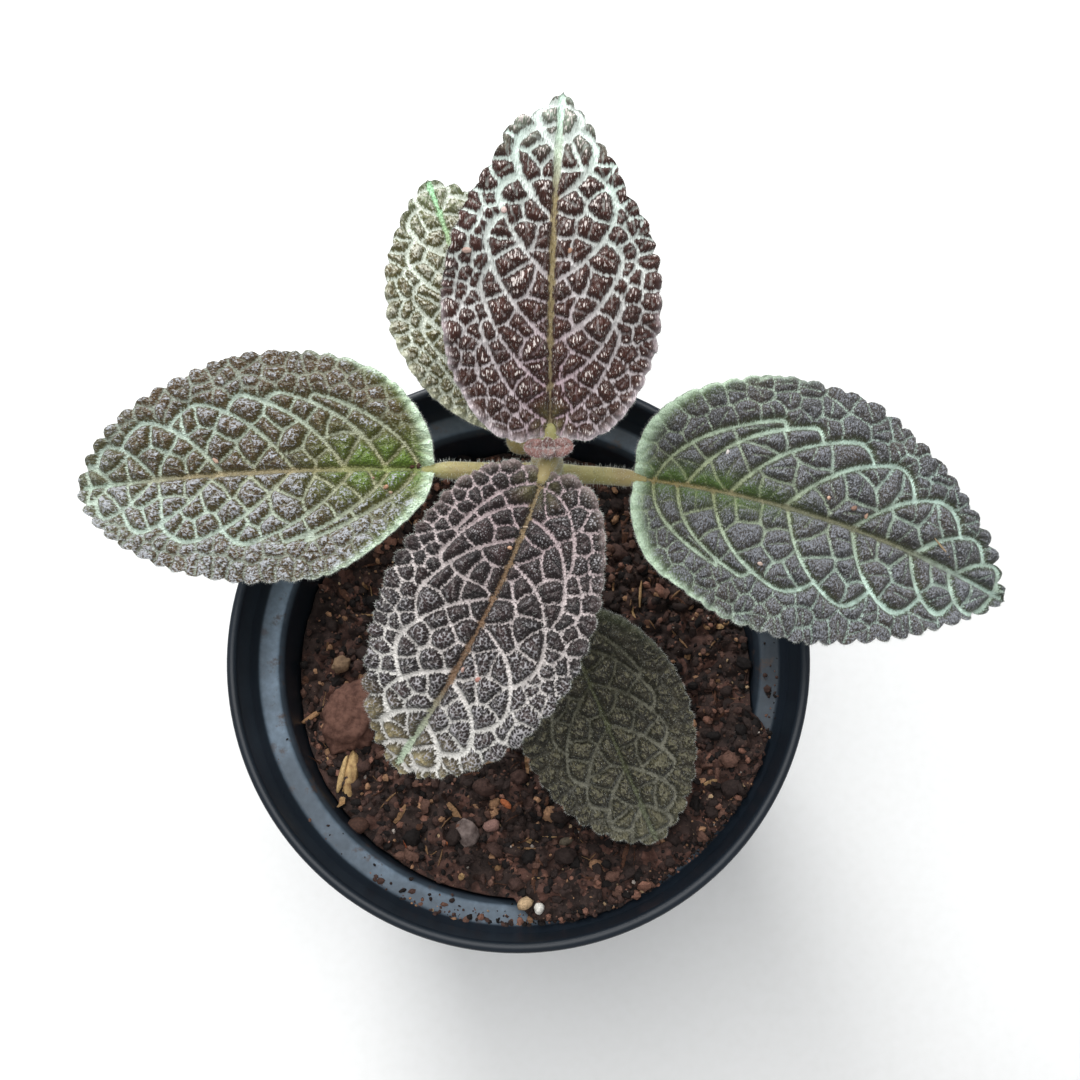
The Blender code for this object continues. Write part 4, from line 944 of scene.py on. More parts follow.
def midribLine(leaf, steps=80):
    share = np.linspace(0.0, 1.0, steps)
    heading = np.radians(leaf["heading"] + leaf["turn"] * share)
    start, end = leaf["pitch"]
    pitch = np.radians(start + (end - start) * share)
    ahead = np.stack([np.cos(heading) * np.cos(pitch), np.sin(heading) * np.cos(pitch),
                      np.sin(pitch)], -1)
    step = leaf["length"] / (steps - 1)
    moved = np.cumsum((ahead[:-1] + ahead[1:]) / 2 * step, 0)
    return share * leaf["length"], np.vstack([np.zeros(3), moved]) + leaf["base"], ahead


# Points of a line at some lengths along it.
def readLine(line, lengths, at):
    return np.stack([np.interp(at, lengths, column) for column in line.T], -1)


# Point of the blade s along the midrib and x to its left on the flat leaf.
def bladePoint(leaf, s, x):
    along, points, ahead = midribLine(leaf)
    inside = np.clip(s, 0.0, leaf["length"])
    point = readLine(points, along, inside)
    tangent = unit(readLine(ahead, along, inside))
    point = point + tangent * (s - inside)[..., None]
    side = unit(np.cross([0.0, 0.0, 1.0], tangent))
    up = np.cross(tangent, side)
    half = leaf["width"] / 2
    fold, curl = math.radians(leaf["fold"]), math.radians(leaf["curl"]) / half
    out = np.abs(x)
    across = (np.sin(fold + curl * out) - math.sin(fold)) / curl
    rise = (math.cos(fold) - np.cos(fold + curl * out)) / curl
    ripple = np.sin(s * (0.42 + 0.06 * np.sign(x)) + leaf["seed"])
    rise = rise + leaf["wave"] * (out / half) ** 2 * ripple
    return point + side * (np.sign(x) * across)[..., None] + up * rise[..., None]


def bladeNormal(leaf, s, x, step=0.4):
    ahead = bladePoint(leaf, s + step, x) - bladePoint(leaf, s - step, x)
    left = bladePoint(leaf, s, x + step) - bladePoint(leaf, s, x - step)
    return unit(np.cross(ahead, left))


def halfWidth(leaf, share, side):
    t = np.clip(share, 0.0, 1.0)
    widest = leaf["widest"]
    toward = np.where(t < widest, (widest - t) / widest, (t - widest) / (1.0 - widest))
    power = np.where(t < widest, leaf["basePower"], leaf["tipPower"])
    width = leaf["width"] / 2 * np.maximum(1.0 - toward * toward, 0.0) ** power
    for place, height, reach in leaf["bumpsLeft" if side > 0 else "bumpsRight"]:
        width = width * (1.0 + height * np.exp(-((t - place) / reach) ** 2))
    return width


def edgePoint(leaf, share, side):
    width = halfWidth(leaf, share, side)
    lobe = leaf["lobe"] * width / (leaf["width"] / 2) * (1.0 - share) ** 6 * ease(width, 1.6, 4.5)
    return share * leaf["length"] - lobe, side * width


# The scalloped outline of the flat leaf, from its base round the tip and back.
def bladeOutline(leaf, step):
    loop = []
    for side in (1, -1):
        share = 0.5 - 0.5 * np.cos(np.linspace(0.0, math.pi, 400))
        s, x = edgePoint(leaf, share, side)
        length = np.concatenate([[0.0], np.cumsum(np.hypot(np.diff(s), np.diff(x)))])
        teeth = max(1, round(length[-1] / blade["toothPitch"]))
        perTooth = max(1, round(length[-1] / teeth / step))
        even = np.linspace(0.0, length[-1], teeth * perTooth + 1)
        sEven, xEven = np.interp(even, length, s), np.interp(even, length, x)
        ds, dx = np.gradient(sEven), np.gradient(xEven)
        size = np.hypot(ds, dx)
        phase = (even / length[-1] * teeth) % 1.0
        scallop = np.sin(math.pi * phase) ** 0.8 - 0.5
        grown = ease(even, 3.0, 0.7 * length[-1]) * ease(length[-1] - even, 0.5, 3.0)
        moved = 2.0 * leaf["tooth"] * grown * scallop
        points = list(zip(sEven - dx / size * moved * side, xEven + ds / size * moved * side))
        loop.append(points if side > 0 else points[::-1])
    return [(float(s), float(x)) for s, x in loop[0][:-1] + loop[1][:-1]]


# A side vein: it leaves the midrib at an open angle and bends forward, until it runs along
# the margin.
def sideVein(leaf, place, side):
    length = leaf["length"]
    opening = leaf["openLeft" if side > 0 else "openRight"] + 20.0 * math.exp(-place / 0.15)
    s, x = place * length, 0.0
    points = [(s, 0.0)]
    while True:
        reached = x / (blade["loopReach"] * float(halfWidth(leaf, s / length, side)) + 0.001)
        if reached > 0.95 or s > 0.96 * length:
            return np.array(points)
        angle = math.radians(opening + (blade["archAngle"] - opening) * reached ** 1.6)
        s += 0.5 * math.cos(angle)
        x += 0.5 * math.sin(angle)
        points.append((s, side * x))


def pointAlong(line, share):
    length = np.concatenate([[0.0], np.cumsum(np.hypot(*np.diff(line, axis=0).T))])
    return readLine(line, length, share * length[-1])


# The net: lines of points, each with its order: 0 the midrib, 1 side veins and the arches
# between them, 2 the cells inside the arches, 3 those outside, 4 creases in the cells.
def veinNet(leaf):
    rng, fine = random.Random(leaf["seed"]), random.Random(leaf["seed"] + 50)
    length, size = leaf["length"], leaf["cellSize"]
    midrib = np.array([(s, 0.0) for s in np.linspace(0.0, 0.985 * length, 24)])
    net = [(0, midrib)]
    for side in (1, -1):
        places = leaf["veinsLeft" if side > 0 else "veinsRight"]
        veins = [sideVein(leaf, place, side) for place in places]
        net += [(1, vein) for vein in veins]
        border = [midrib[:1], veins[0]]
        for low, high in zip(veins, veins[1:]):
            joint = blade["joint"] + rng.uniform(-0.06, 0.06)
            inner = np.array([pointAlong(high, joint * i / 24) for i in range(25)])
            outer = np.array([pointAlong(high, joint + (1.0 - joint) * i / 8) for i in range(1, 9)])
            arch = archLine(low, inner[-1])
            net.append((1, arch))
            region = np.vstack([low, arch, inner[::-1]])
            net += cellLines(region, [low, inner, arch, midrib], size, 2, rng, fine)
            border += [arch[1:], outer]
        last = archLine(veins[-1], np.array([0.965 * length, 0.0]))
        net.append((1, last))
        region = np.vstack([veins[-1], last])
        net += cellLines(region, [veins[-1], last, midrib], size, 2, rng, fine)
        border = np.vstack([*border, last[1:]])
        rim = np.stack(edgePoint(leaf, 0.5 - 0.5 * np.cos(np.linspace(0.0, math.pi, 80)), side), -1)
        region = np.vstack([border, rim[::-1]])
        net += cellLines(region, [border, rim, midrib], size * blade["small"], 3, rng, fine)
    return net


# From the end of a side vein round to the next one, or to the tip.
def archLine(vein, end):
    start, ahead = vein[-1], vein[-1] - vein[-3]
    reach = float(np.hypot(*(end - start)))
    lead = start + ahead / np.hypot(*ahead) * 0.5 * reach
    share = np.linspace(0.0, 1.0, 9)[:, None]
    return (1 - share) ** 2 * start + 2 * share * (1 - share) * lead + share ** 2 * end


def nearestOn(line, point):
    starts, rays = line[:-1], np.diff(line, axis=0)
    share = ((point - starts) * rays).sum(1) / np.maximum((rays * rays).sum(1), 1e-9)
    feet = starts + np.clip(share, 0.0, 1.0)[:, None] * rays
    return feet[np.argmin(((feet - point) ** 2).sum(1))]


# Centres of cells about `size` mm wide, scattered over a region and then partly evened out.
def cellCentres(region, size, rng):
    low, high = region.min(0), region.max(0)
    s, x = np.meshgrid(np.arange(low[0], high[0], 0.4), np.arange(low[1], high[1], 0.4))
    field = np.stack([s.ravel(), x.ravel()], -1)
    field = field[insideLoop(field, region)]
    if len(field) < 4:
        return np.zeros((0, 2))
    centres = field[[rng.randrange(len(field))]]
    while len(centres) < round(len(field) * 0.4 ** 2 / (math.sqrt(0.75) * size * size)):
        tries = field[[rng.randrange(len(field)) for _ in range(6)]]
        room = ((tries[:, None] - centres[None]) ** 2).sum(-1).min(1)
        centres = np.vstack([centres, tries[np.argmax(room)]])
    for _ in range(blade["evened"]):
        nearest = np.argmin(((field[:, None] - centres[None]) ** 2).sum(-1), axis=1)
        centres = np.array([field[nearest == k].mean(0) if np.any(nearest == k) else centre
                            for k, centre in enumerate(centres)])
    return centres


# The lines between the cells of a region. Centres mirrored beyond its sides make these lines
# end at the sides.
def cellLines(region, sides, size, order, rng, fine):
    centres = cellCentres(region, size, rng)
    count = len(centres)
    if count == 0:
        return []
    points = [Vector(p) for p in centres]
    for centre in centres:
        for side in sides:
            foot = nearestOn(side, centre)
            if 0.05 < math.dist(foot, centre) < 1.7 * size:
                points.append(Vector(2.0 * foot - centre))
    far = 300.0
    points += [Vector(p) for p in ((-far, -far), (far, -far), (far, far), (-far, far))]
    verts, _, faces, origin, _, _ = delaunay_2d_cdt(points, [], [], 0, 0.0001)
    real = [any(k < count for k in sources) for sources in origin]
    corners = {}
    for face in faces:
        centre = circleCentre(*(verts[i] for i in face))
        for i, j in zip(face, face[1:] + face[:1]):
            if real[i] and real[j]:
                corners.setdefault((min(i, j), max(i, j)), []).append(centre)
    made = []
    for ends in corners.values():
        if len(ends) == 2 and 0.25 < math.dist(*ends) < 2.6 * size:
            start, end = (np.array(p) for p in ends)
            sway = rng.uniform(-0.10, 0.10)
            middle = (start + end) / 2 + np.array([start[1] - end[1], end[0] - start[0]]) * sway
            made.append((order, np.array([start, middle, end])))
    for centre in centres:
        angle = fine.uniform(0.0, math.pi)
        arm = np.array([math.cos(angle), math.sin(angle)]) * size * fine.uniform(0.2, 0.42)
        if fine.random() < 0.75:
            made.append((4, np.array([centre - arm, centre, centre + arm])))
    return made


# Centre of the circle through three points.
def circleCentre(a, b, c):
    ab, ac = b - a, c - a
    twice = 2.0 * (ab.x * ac.y - ab.y * ac.x)
    if abs(twice) < 1e-9:
        return tuple((a + b + c) / 3.0)
    u, v = ab.length_squared, ac.length_squared
    return (a.x + (ac.y * u - ab.y * v) / twice, a.y + (ab.x * v - ac.x * u) / twice)


# For each order of vein: its depth, the width of its groove and half that of its pale line
veinLooks = ((1.0, 1.2, 0.14), (0.95, 0.95, 0.12), (0.85, 0.75, 0.06), (0.55, 0.65, 0.05),
             (0.34, 0.4, 0.02))
webbing = 0.11


# For points of the flat leaf: how deep the net presses them in, 0 to 1, and the gaps to the
# edges of the nearest pale vein and of the nearest faint one. Veins web where they meet.
def netMeasures(leaf, net, flat):
    groove = np.zeros(len(flat))
    sums = np.zeros((2, len(flat)))
    margin = 3.2
    near, far = leaf["wide"]
    for order, line in net:
        low, high = line.min(0) - margin, line.max(0) + margin
        here = np.nonzero(np.all((flat > low) & (flat < high), axis=1))[0]
        if not len(here):
            continue
        spots = flat[here]
        closest = np.full(len(here), 99.0)
        for start, end in zip(line, line[1:]):
            ray = end - start
            share = np.clip(((spots - start) @ ray) / max(float(ray @ ray), 1e-9), 0.0, 1.0)
            offset = spots - start - share[:, None] * ray
            closest = np.minimum(closest, np.hypot(offset[:, 0], offset[:, 1]))
        depth, width, half = veinLooks[order]
        groove[here] = np.maximum(groove[here], depth * np.exp(-(closest / width) ** 1.7))
        along = np.clip(spots[:, 0] / leaf["length"], 0.0, 1.0)
        half = half * (near + (far - near) * along ** 1.5) * (0.6 + 0.4 * ease(along, 0.0, 0.2))
        half = half * (0.35 + 1.3 * cloud(spots, 2.4, leaf["seed"] + 9))
        half = half - 0.09 * (order > leaf["faintFrom"])
        faint = int(order >= leaf["faintFrom"])
        sums[faint, here] += np.exp(-(closest - half) / webbing)
    gap, faintGap = -webbing * np.log(sums + 1e-9)
    return groove, gap, faintGap


def rimTree(outline):
    loop = np.array(outline + outline[:1])
    return nearTree([a + (b - a) * k / 3 for a, b in zip(loop, loop[1:]) for k in range(3)])


def gapTo(tree, flat):
    return np.array([tree.find((p[0], p[1], 0.0))[2] for p in flat])


# Everything known about points of the flat leaf.
def skin(leaf, net, rim, flat):
    s, x = flat[:, 0], flat[:, 1]
    groove, gap, faintGap = netMeasures(leaf, net, flat)
    edge = gapTo(rim, flat)
    puff = blade["puff"] * (1.0 - blade["sink"] * groove)
    first, second = grains(flat, blade["grainPitch"], leaf["seed"])
    grain = np.clip((second - first) / 0.45, 0.0, 1.0)
    clear = ease(np.minimum(gap, faintGap), 0.0, 0.35)
    height = puff + blade["grainHeight"] * grain * clear
    height = height + blade["fineHeight"] * (cloud(flat, 0.5, leaf["seed"] + 1) - 0.5)
    height += blade["cellRise"] * (ease(gap, 0.0, 1.6) - 0.5)
    inward = np.clip(edge / blade["roundEdge"], 0.03, 1.0)
    thick = blade["thick"] * np.sqrt(inward * (2.0 - inward))
    return dict(s=s, x=x, gap=gap, faintGap=faintGap, edge=edge, height=height, thick=thick,
                middle=bladePoint(leaf, s, x), normal=bladeNormal(leaf, s, x), puff=puff)


# Points lifted off the middle of the blade.
def lifted(m, height):
    return m["middle"] + m["normal"] * height[:, None]


# Points of a triangle grid inside the outline, kept clear of it.
def fillPoints(leaf, outline, rim, step, seed):
    rng = np.random.RandomState(seed)
    rows = int((leaf["length"] + 4.0) / (step * 0.866)) + 2
    columns = int(leaf["width"] / 2 / step) + 3
    j, i = np.meshgrid(np.arange(rows), np.arange(-columns, columns + 1), indexing="ij")
    s = -3.5 + (j + rng.uniform(-0.15, 0.15, j.shape)) * step * 0.866
    x = (i + 0.5 * (j % 2) + rng.uniform(-0.15, 0.15, j.shape)) * step
    grid = np.stack([s.ravel(), x.ravel()], -1)
    grid = grid[insideLoop(grid, np.array(outline))]
    return grid[gapTo(rim, grid) > 0.55 * step]


def insideLoop(points, loop):
    inside = np.zeros(len(points), bool)
    ahead = np.roll(loop, -1, axis=0)
    px, py = points[:, 0], points[:, 1]
    for (x1, y1), (x2, y2) in zip(loop, ahead):
        if y1 == y2:
            continue
        inside ^= ((y1 > py) != (y2 > py)) & (px < (x2 - x1) * (py - y1) / (y2 - y1) + x1)
    return inside


# The flat blade in triangles about `step` mm wide.
def flatBlade(leaf, outline, rim, step, seed):
    fill = fillPoints(leaf, outline, rim, step, seed)
    points = [Vector(p) for p in outline] + [Vector(p) for p in fill]
    loop = list(range(len(outline)))
    verts, _, faces, _, _, _ = delaunay_2d_cdt(points, [], [loop], 1, 0.0005)
    return np.array([tuple(v) for v in verts]), [tuple(f) for f in faces]


# Faces of a closed shell: its upper sheet, its lower one turned over and the rim between them.
def shellFaces(upper, lower, count, border, start=0):
    faces = [tuple(i + start for i in f) for f in upper]
    low = start + count
    faces += [(a + low, c + low, b + low) for a, b, c in lower]
    for i in range(border):
        j = (i + 1) % border
        faces.append((j + start, i + start, i + low, j + low))
    return faces


# Shares that tint the skin, worked out for each point. The bloom is thicker on the tops of the
# cells, and a painted sheen thickens it on the slopes that face up the picture, towards the light.
def tints(leaf, m, lit):
    flat = np.stack([m["s"], m["x"]], -1)
    along = np.clip(m["s"] / leaf["length"], 0.0, 1.0)
    reach, spread = leaf["greenReach"]
    green = np.exp(-(np.abs(m["x"]) / spread) ** 2) * (1.0 - ease(along, 0.5 * reach, 1.25 * reach))
    lobes = 0.8 * np.exp(-(m["edge"] / 1.8) ** 2) * (1.0 - ease(along, 0.04, 0.3))
    green = np.maximum(green, leaf["lobeGreen"] * lobes)
    left, right = leaf["cover"]
    cover = right + (left - right) * ease(m["x"], -2.0, 2.0) + leaf["tipCover"] * (along - 0.3)
    cover = cover + 0.22 * (cloud(flat, 7.0, leaf["seed"] + 5) - 0.5)
    cover = cover + 0.22 * (cloud(flat, 2.2, leaf["seed"] + 6) - 0.5)
    near = np.minimum(m["gap"], m["faintGap"] + 0.15)
    # Painted sheen: more bloom where the skin turns towards the light.
    cover = cover + 0.5 * (ease(near, 0.05, 0.8) - 0.8) + leaf["slopes"] * lit - 0.5 * green
    cover = cover + leaf["endCover"] * ease(along, 0.78, 0.95)
    near = 0.6 + leaf["fuzz"] * (1.0 - ease(along, 0.0, leaf["marginReach"]))
    pale = np.exp(-(m["edge"] / near) ** 2) * (
        1.0 - ease(along, leaf["marginReach"], leaf["marginReach"] + 0.3))
    return green, cover, pale


# Hairy leaf skin: dark cells under a silver bloom of fine hairs, pale sunken veins, green by
# the stalk. The bloom lies in curls round tiny dark pits, or as dots, half a millimetre apart.
def leafMaterial(name, leaf):
    mat, tree = newMaterial(f"hairy leaf skin {name}")
    flat = add(tree, "Attribute", {}, out="Vector", attribute_name="flat")
    gap, faintGap, green, cover, pale, along, middle = (
        add(tree, "Attribute", {}, out="Fac", attribute_name=field)
        for field in ("veinGap", "faintGap", "green", "cover", "pale", "along", "middle"))

    broad = add(tree, "TexNoise", {"Vector": flat, "Scale": 0.22, "Detail": 3.0})
    broad = add(tree, "MapRange", [broad, 0.35, 0.65])
    cells = add(tree, "Mix", [broad, leaf["cell"], leaf["cell2"]])
    cells = add(tree, "Mix", [green, cells, leaf["green"]])
    atTip = add(tree, "MapRange", [along, 0.78, 0.98, 0.0, 0.9])
    cells = add(tree, "Mix", [atTip, cells, leaf["tip"]])
    # Painted shade: beside the veins, in the grooves, the skin turns to the darker shore tone.
    shore = add(tree, "MapRange", [gap, 0.1, 0.9, 0.8, 0.0])
    cells = add(tree, "Mix", [shore, cells, leaf["shore"]])

    laid = add(tree, "Mapping", {"Vector": flat, "Scale": (1.0 / leaf["stretch"], 1.0, 1.0)})
    pits = add(tree, "TexVoronoi", {"Vector": laid, "Scale": leaf["pits"], "Randomness": 0.85},
               out="Distance", voronoi_dimensions="2D")
    worms = add(tree, "TexNoise", {"Vector": laid, "Scale": leaf["worms"], "Detail": 2.0,
                                   "Roughness": 0.6, "Distortion": 0.8})
    low, high = leaf["dots"]
    sense = add(tree, "MapRange", [along, 0.25, 0.55, low, high])
    spots = add(tree, "Math", [pits, 0.38], operation="SUBTRACT")
    strength = add(tree, "Math", [spots, sense, cover], operation="MULTIPLY_ADD")
    curls = add(tree, "MapRange", [worms, 0.0, 1.0, -leaf["ripple"], leaf["ripple"]])
    strength = add(tree, "Math", [strength, curls], operation="ADD")
    bloom = add(tree, "MapRange", [strength, 0.5 - leaf["crisp"], 0.5 + leaf["crisp"], 0.0, 0.95],
                interpolation_type="SMOOTHSTEP")
    tone = add(tree, "Mix", [bloom, cells, leaf["silver"]])
    share = add(tree, "MapRange", [worms, 0.25, 0.6, 0.6])
    share = add(tree, "Math", [share, pale], operation="MULTIPLY")
    tone = add(tree, "Mix", [share, tone, leaf["margin"]])

    base, mid, tip = leaf["midrib"]
    early = add(tree, "MapRange", [along, 0.1, 0.4])
    late = add(tree, "MapRange", [along, 0.68, 0.92])
    rib = add(tree, "Mix", [early, base, mid])
    rib = add(tree, "Mix", [late, rib, tip])
    aside = add(tree, "SeparateXYZ", {"Vector": flat}, out="Y")
    aside = add(tree, "Math", [aside], operation="ABSOLUTE")
    aside = add(tree, "MapRange", [aside, 1.0, 0.26 * leaf["width"], 0.0, leaf["outer"]])
    veins = add(tree, "MapRange", [along, 0.2, 0.8, 0.0, 0.75])
    veins = add(tree, "Math", [veins, aside], operation="ADD", use_clamp=True)
    veins = add(tree, "Mix", [veins, leaf["vein"], leaf["vein2"]])
    veins = add(tree, "Mix", [middle, veins, rib])
    ragged = add(tree, "TexNoise", {"Vector": laid, "Scale": 3.0, "Detail": 2.0})
    ragged = add(tree, "MapRange", [ragged, 0.0, 1.0, -0.5, 0.5])
    edge = add(tree, "Math", [gap, ragged], operation="ADD")
    inVein = add(tree, "MapRange", [edge, -0.06, leaf["soft"], 0.92, 0.0],
                 interpolation_type="SMOOTHSTEP")
    edge = add(tree, "Math", [faintGap, ragged], operation="ADD")
    inFaint = add(tree, "MapRange", [edge, -0.06, leaf["soft"], leaf["faint"], 0.0],
                  interpolation_type="SMOOTHSTEP")
    inVein = add(tree, "Math", [inVein, inFaint], operation="MAXIMUM")
    fade = add(tree, "TexNoise", {"Vector": flat, "Scale": 0.55, "Detail": 3.0})
    fade = add(tree, "MapRange", [fade, 0.35, 0.6, leaf["veinFade"], 1.0])
    inVein = add(tree, "Math", [inVein, fade], operation="MULTIPLY")
    tone = add(tree, "Mix", [inVein, tone, veins])

    relief = add(tree, "Math", [pits, worms], operation="ADD")
    bump = add(tree, "Bump", {"Height": relief, "Strength": 0.75, "Distance": 0.0003})
    return finishMaterial(mat, {"Base Color": tone, "Roughness": 0.45, "Specular IOR Level": 0.45,
                                "Sheen Weight": 0.15, "Sheen Roughness": 0.4, "Normal": bump})


# Underside: pale and matt, flushed with wine red, with the net standing out in pale green.
under = dict(skin="#7f8a6c", flush="#7c5a56", bloom="#b4b8a6", veins="#a9b08c")


def undersideMaterial():
    mat, tree = newMaterial("leaf underside")
    flat = add(tree, "Attribute", {}, out="Vector", attribute_name="flat")
    gap = add(tree, "Attribute", {}, out="Fac", attribute_name="veinGap")
    blush = add(tree, "TexNoise", {"Vector": flat, "Scale": 0.16, "Detail": 3.0})
    blush = add(tree, "MapRange", [blush, 0.35, 0.7])
    skinTone = add(tree, "Mix", [blush, under["skin"], under["flush"]])
    fine = add(tree, "TexNoise", {"Vector": flat, "Scale": 2.2, "Detail": 3.0})
    bloom = add(tree, "MapRange", [fine, 0.5, 0.7, 0.0, 0.5])
    tone = add(tree, "Mix", [bloom, skinTone, under["bloom"]])
    inVein = add(tree, "MapRange", [gap, 0.0, 0.35, 0.9, 0.0], interpolation_type="SMOOTHSTEP")
    tone = add(tree, "Mix", [inVein, tone, under["veins"]])
    bump = add(tree, "Bump", {"Height": fine, "Strength": 0.5, "Distance": 0.0002})
    return finishMaterial(mat, {"Base Color": tone, "Roughness": 0.6, "Specular IOR Level": 0.4,
                                "Sheen Weight": 0.2, "Normal": bump})


# Plant hairs: clear, so that they show as pale threads.
def hairMaterial(name, color, tip):
    mat, tree = newMaterial(name)
    where = add(tree, "NewGeometry", {}, out="Position")
    vary = add(tree, "TexNoise", {"Vector": where, "Scale": 300.0, "Detail": 1.0})
    tone = add(tree, "Mix", [vary, color, tip])
    return finishMaterial(mat, {"Base Color": tone, "Roughness": 0.4, "Specular IOR Level": 0.5})


# Hairs as slim closed spikes with three sides, from roots along directions.
def spikes(roots, ways, lengths, radius):
    ways = unit(ways)
    aside = unit(np.cross(ways, [0.31, 0.52, 0.8]))
    across = np.cross(ways, aside)
    verts = np.empty((len(roots), 4, 3))
    for k in range(3):
        angle = 2 * math.pi * k / 3
        around = math.cos(angle) * aside + math.sin(angle) * across
        verts[:, k] = roots - ways * 0.05 + radius * around
    verts[:, 3] = roots + ways * lengths[:, None]
    pattern = np.array([(0, 1, 3), (1, 2, 3), (2, 0, 3), (2, 1, 0)])
    faces = (pattern[None] + 4 * np.arange(len(roots))[:, None, None]).reshape(-1, 3)
    return verts.reshape(-1, 3), faces


# A felt of short hairs on faces of a finished mesh, picked by chance above a level.
def makeFelt(name, host, slot, mat, look, level=-math.inf):
    rng = np.random.RandomState(look["hairSeed"])
    mesh = host.data
    places = np.empty(len(mesh.polygons) * 3)
    normals = np.empty(len(mesh.polygons) * 3)
    mesh.polygons.foreach_get("center", places)
    mesh.polygons.foreach_get("normal", normals)
    places, normals = places.reshape(-1, 3) / mm, normals.reshape(-1, 3)
    shown = np.nonzero(places[:, 2] > level)[0]
    picked = rng.choice(shown, min(look["hairs"], len(shown)), replace=False)
    ways = normals[picked] + rng.normal(0.0, look["hairSpread"], (len(picked), 3))
    lengths = rng.uniform(*look["hairLength"], len(picked))
    spike, faces = spikes(places[picked], ways, lengths, look["hairRadius"])
    settle(meshFrom(name, spike, faces, [mat]), slot)


lightWay = np.array([-0.15, 0.75, 0.64])        # towards the light, for the bloom

# Hairs of a leaf and its rim: perArea of them on a square millimetre, one each rimPitch
hair = dict(perArea=3.6, length=(0.20, 0.50), spread=0.42, lean=0.45, radius=0.018,
            rimPitch=0.045, rimLength=(0.25, 0.65), rimSpread=0.35, color="#b9c0b4", tip="#eef0ea")


def makeHairs(name, leaf, net, rim, outline, mat):
    rng = np.random.RandomState(leaf["seed"] + 200)
    area = leaf["length"] * leaf["width"] * 0.8
    count = int(area * hair["perArea"])
    spots = np.stack([rng.uniform(-2.5, leaf["length"], 2 * count),
                      rng.uniform(-0.55, 0.55, 2 * count) * leaf["width"]], -1)
    spots = spots[insideLoop(spots, np.array(outline))][:count]
    m = skin(leaf, net, rim, spots)
    roots = lifted(m, m["height"] + m["thick"] / 2)
    s, x = spots.T
    ahead = bladePoint(leaf, s + 0.5, x) - bladePoint(leaf, s - 0.5, x)
    ways = m["normal"] + hair["lean"] * ahead + rng.normal(0.0, hair["spread"], roots.shape)
    lengths = rng.uniform(*hair["length"], len(roots))

    loop = np.array(outline)
    step = np.hypot(*(np.roll(loop, -1, axis=0) - loop).T)
    total = float(step.sum())
    at = np.sort(rng.uniform(0.0, total, int(total / hair["rimPitch"])))
    length = np.concatenate([[0.0], np.cumsum(step)])
    closed = np.vstack([loop, loop[:1]])
    edge = readLine(closed, length, at)
    onward = readLine(closed, length, at + 0.3) - edge
    outward = np.stack([-onward[:, 1], onward[:, 0]], -1)
    outward /= np.linalg.norm(outward, axis=1, keepdims=True) + 1e-9
    m = skin(leaf, net, rim, edge - outward * 0.12)
    rimRoots = lifted(m, m["height"] + rng.uniform(-0.3, 0.3, len(edge)))
    beyond = bladePoint(leaf, *(edge + outward * 0.6).T) - bladePoint(leaf, *edge.T)
    strayed = rng.normal(0.0, hair["rimSpread"], rimRoots.shape)
    rimWays = beyond / 0.6 + 0.25 * m["normal"] + strayed
    rimLengths = rng.uniform(*hair["rimLength"], len(edge))
    verts, faces = spikes(np.vstack([roots, rimRoots]), np.vstack([ways, rimWays]),
                          np.concatenate([lengths, rimLengths]), hair["radius"])
    settle(meshFrom(name + "_hairs", verts, faces, [mat]), leaf["slot"])


def giveSkin(obj, leaf, flat, m):
    normals = np.empty(len(obj.data.vertices) * 3)
    obj.data.vertices.foreach_get("normal", normals)
    # How far the skin at each point turns towards the light, for the bloom's painted sheen.
    lit = (normals.reshape(-1, 3) - m["normal"]) @ lightWay
    green, cover, pale = tints(leaf, m, lit)
    give(obj, "flat", np.column_stack([flat, np.zeros(len(flat))]), "FLOAT_VECTOR", "vector")
    along = np.clip(m["s"] / leaf["length"], 0.0, 1.0)
    middle = 1.0 - ease(np.abs(m["x"]), 0.45, 0.8)
    fields = dict(veinGap=m["gap"], faintGap=m["faintGap"], green=green, cover=cover, pale=pale,
                  along=along, middle=middle)
    for name, values in fields.items():
        give(obj, name, values)


# Specks of soil lying on a leaf, placed by their spots on the flat blade.
def speckBodies(leaf, net, rim):
    m = skin(leaf, net, rim, np.array([speck[0] for speck in leaf["specks"]]))
    lift = lifted(m, m["height"] + m["thick"] / 2 - 0.05)
    for number, (_, size, heading, tone) in enumerate(leaf["specks"]):
        body, shell = lumpMesh(size, number + 70, 0.15, 2)
        up = m["normal"][number]
        way = np.array([math.cos(math.radians(heading)), math.sin(math.radians(heading)), 0.0])
        way -= up * (way @ up)
        way /= np.linalg.norm(way)
        yield body @ np.array([way, np.cross(up, way), up]) + lift[number], shell, linear(tone)


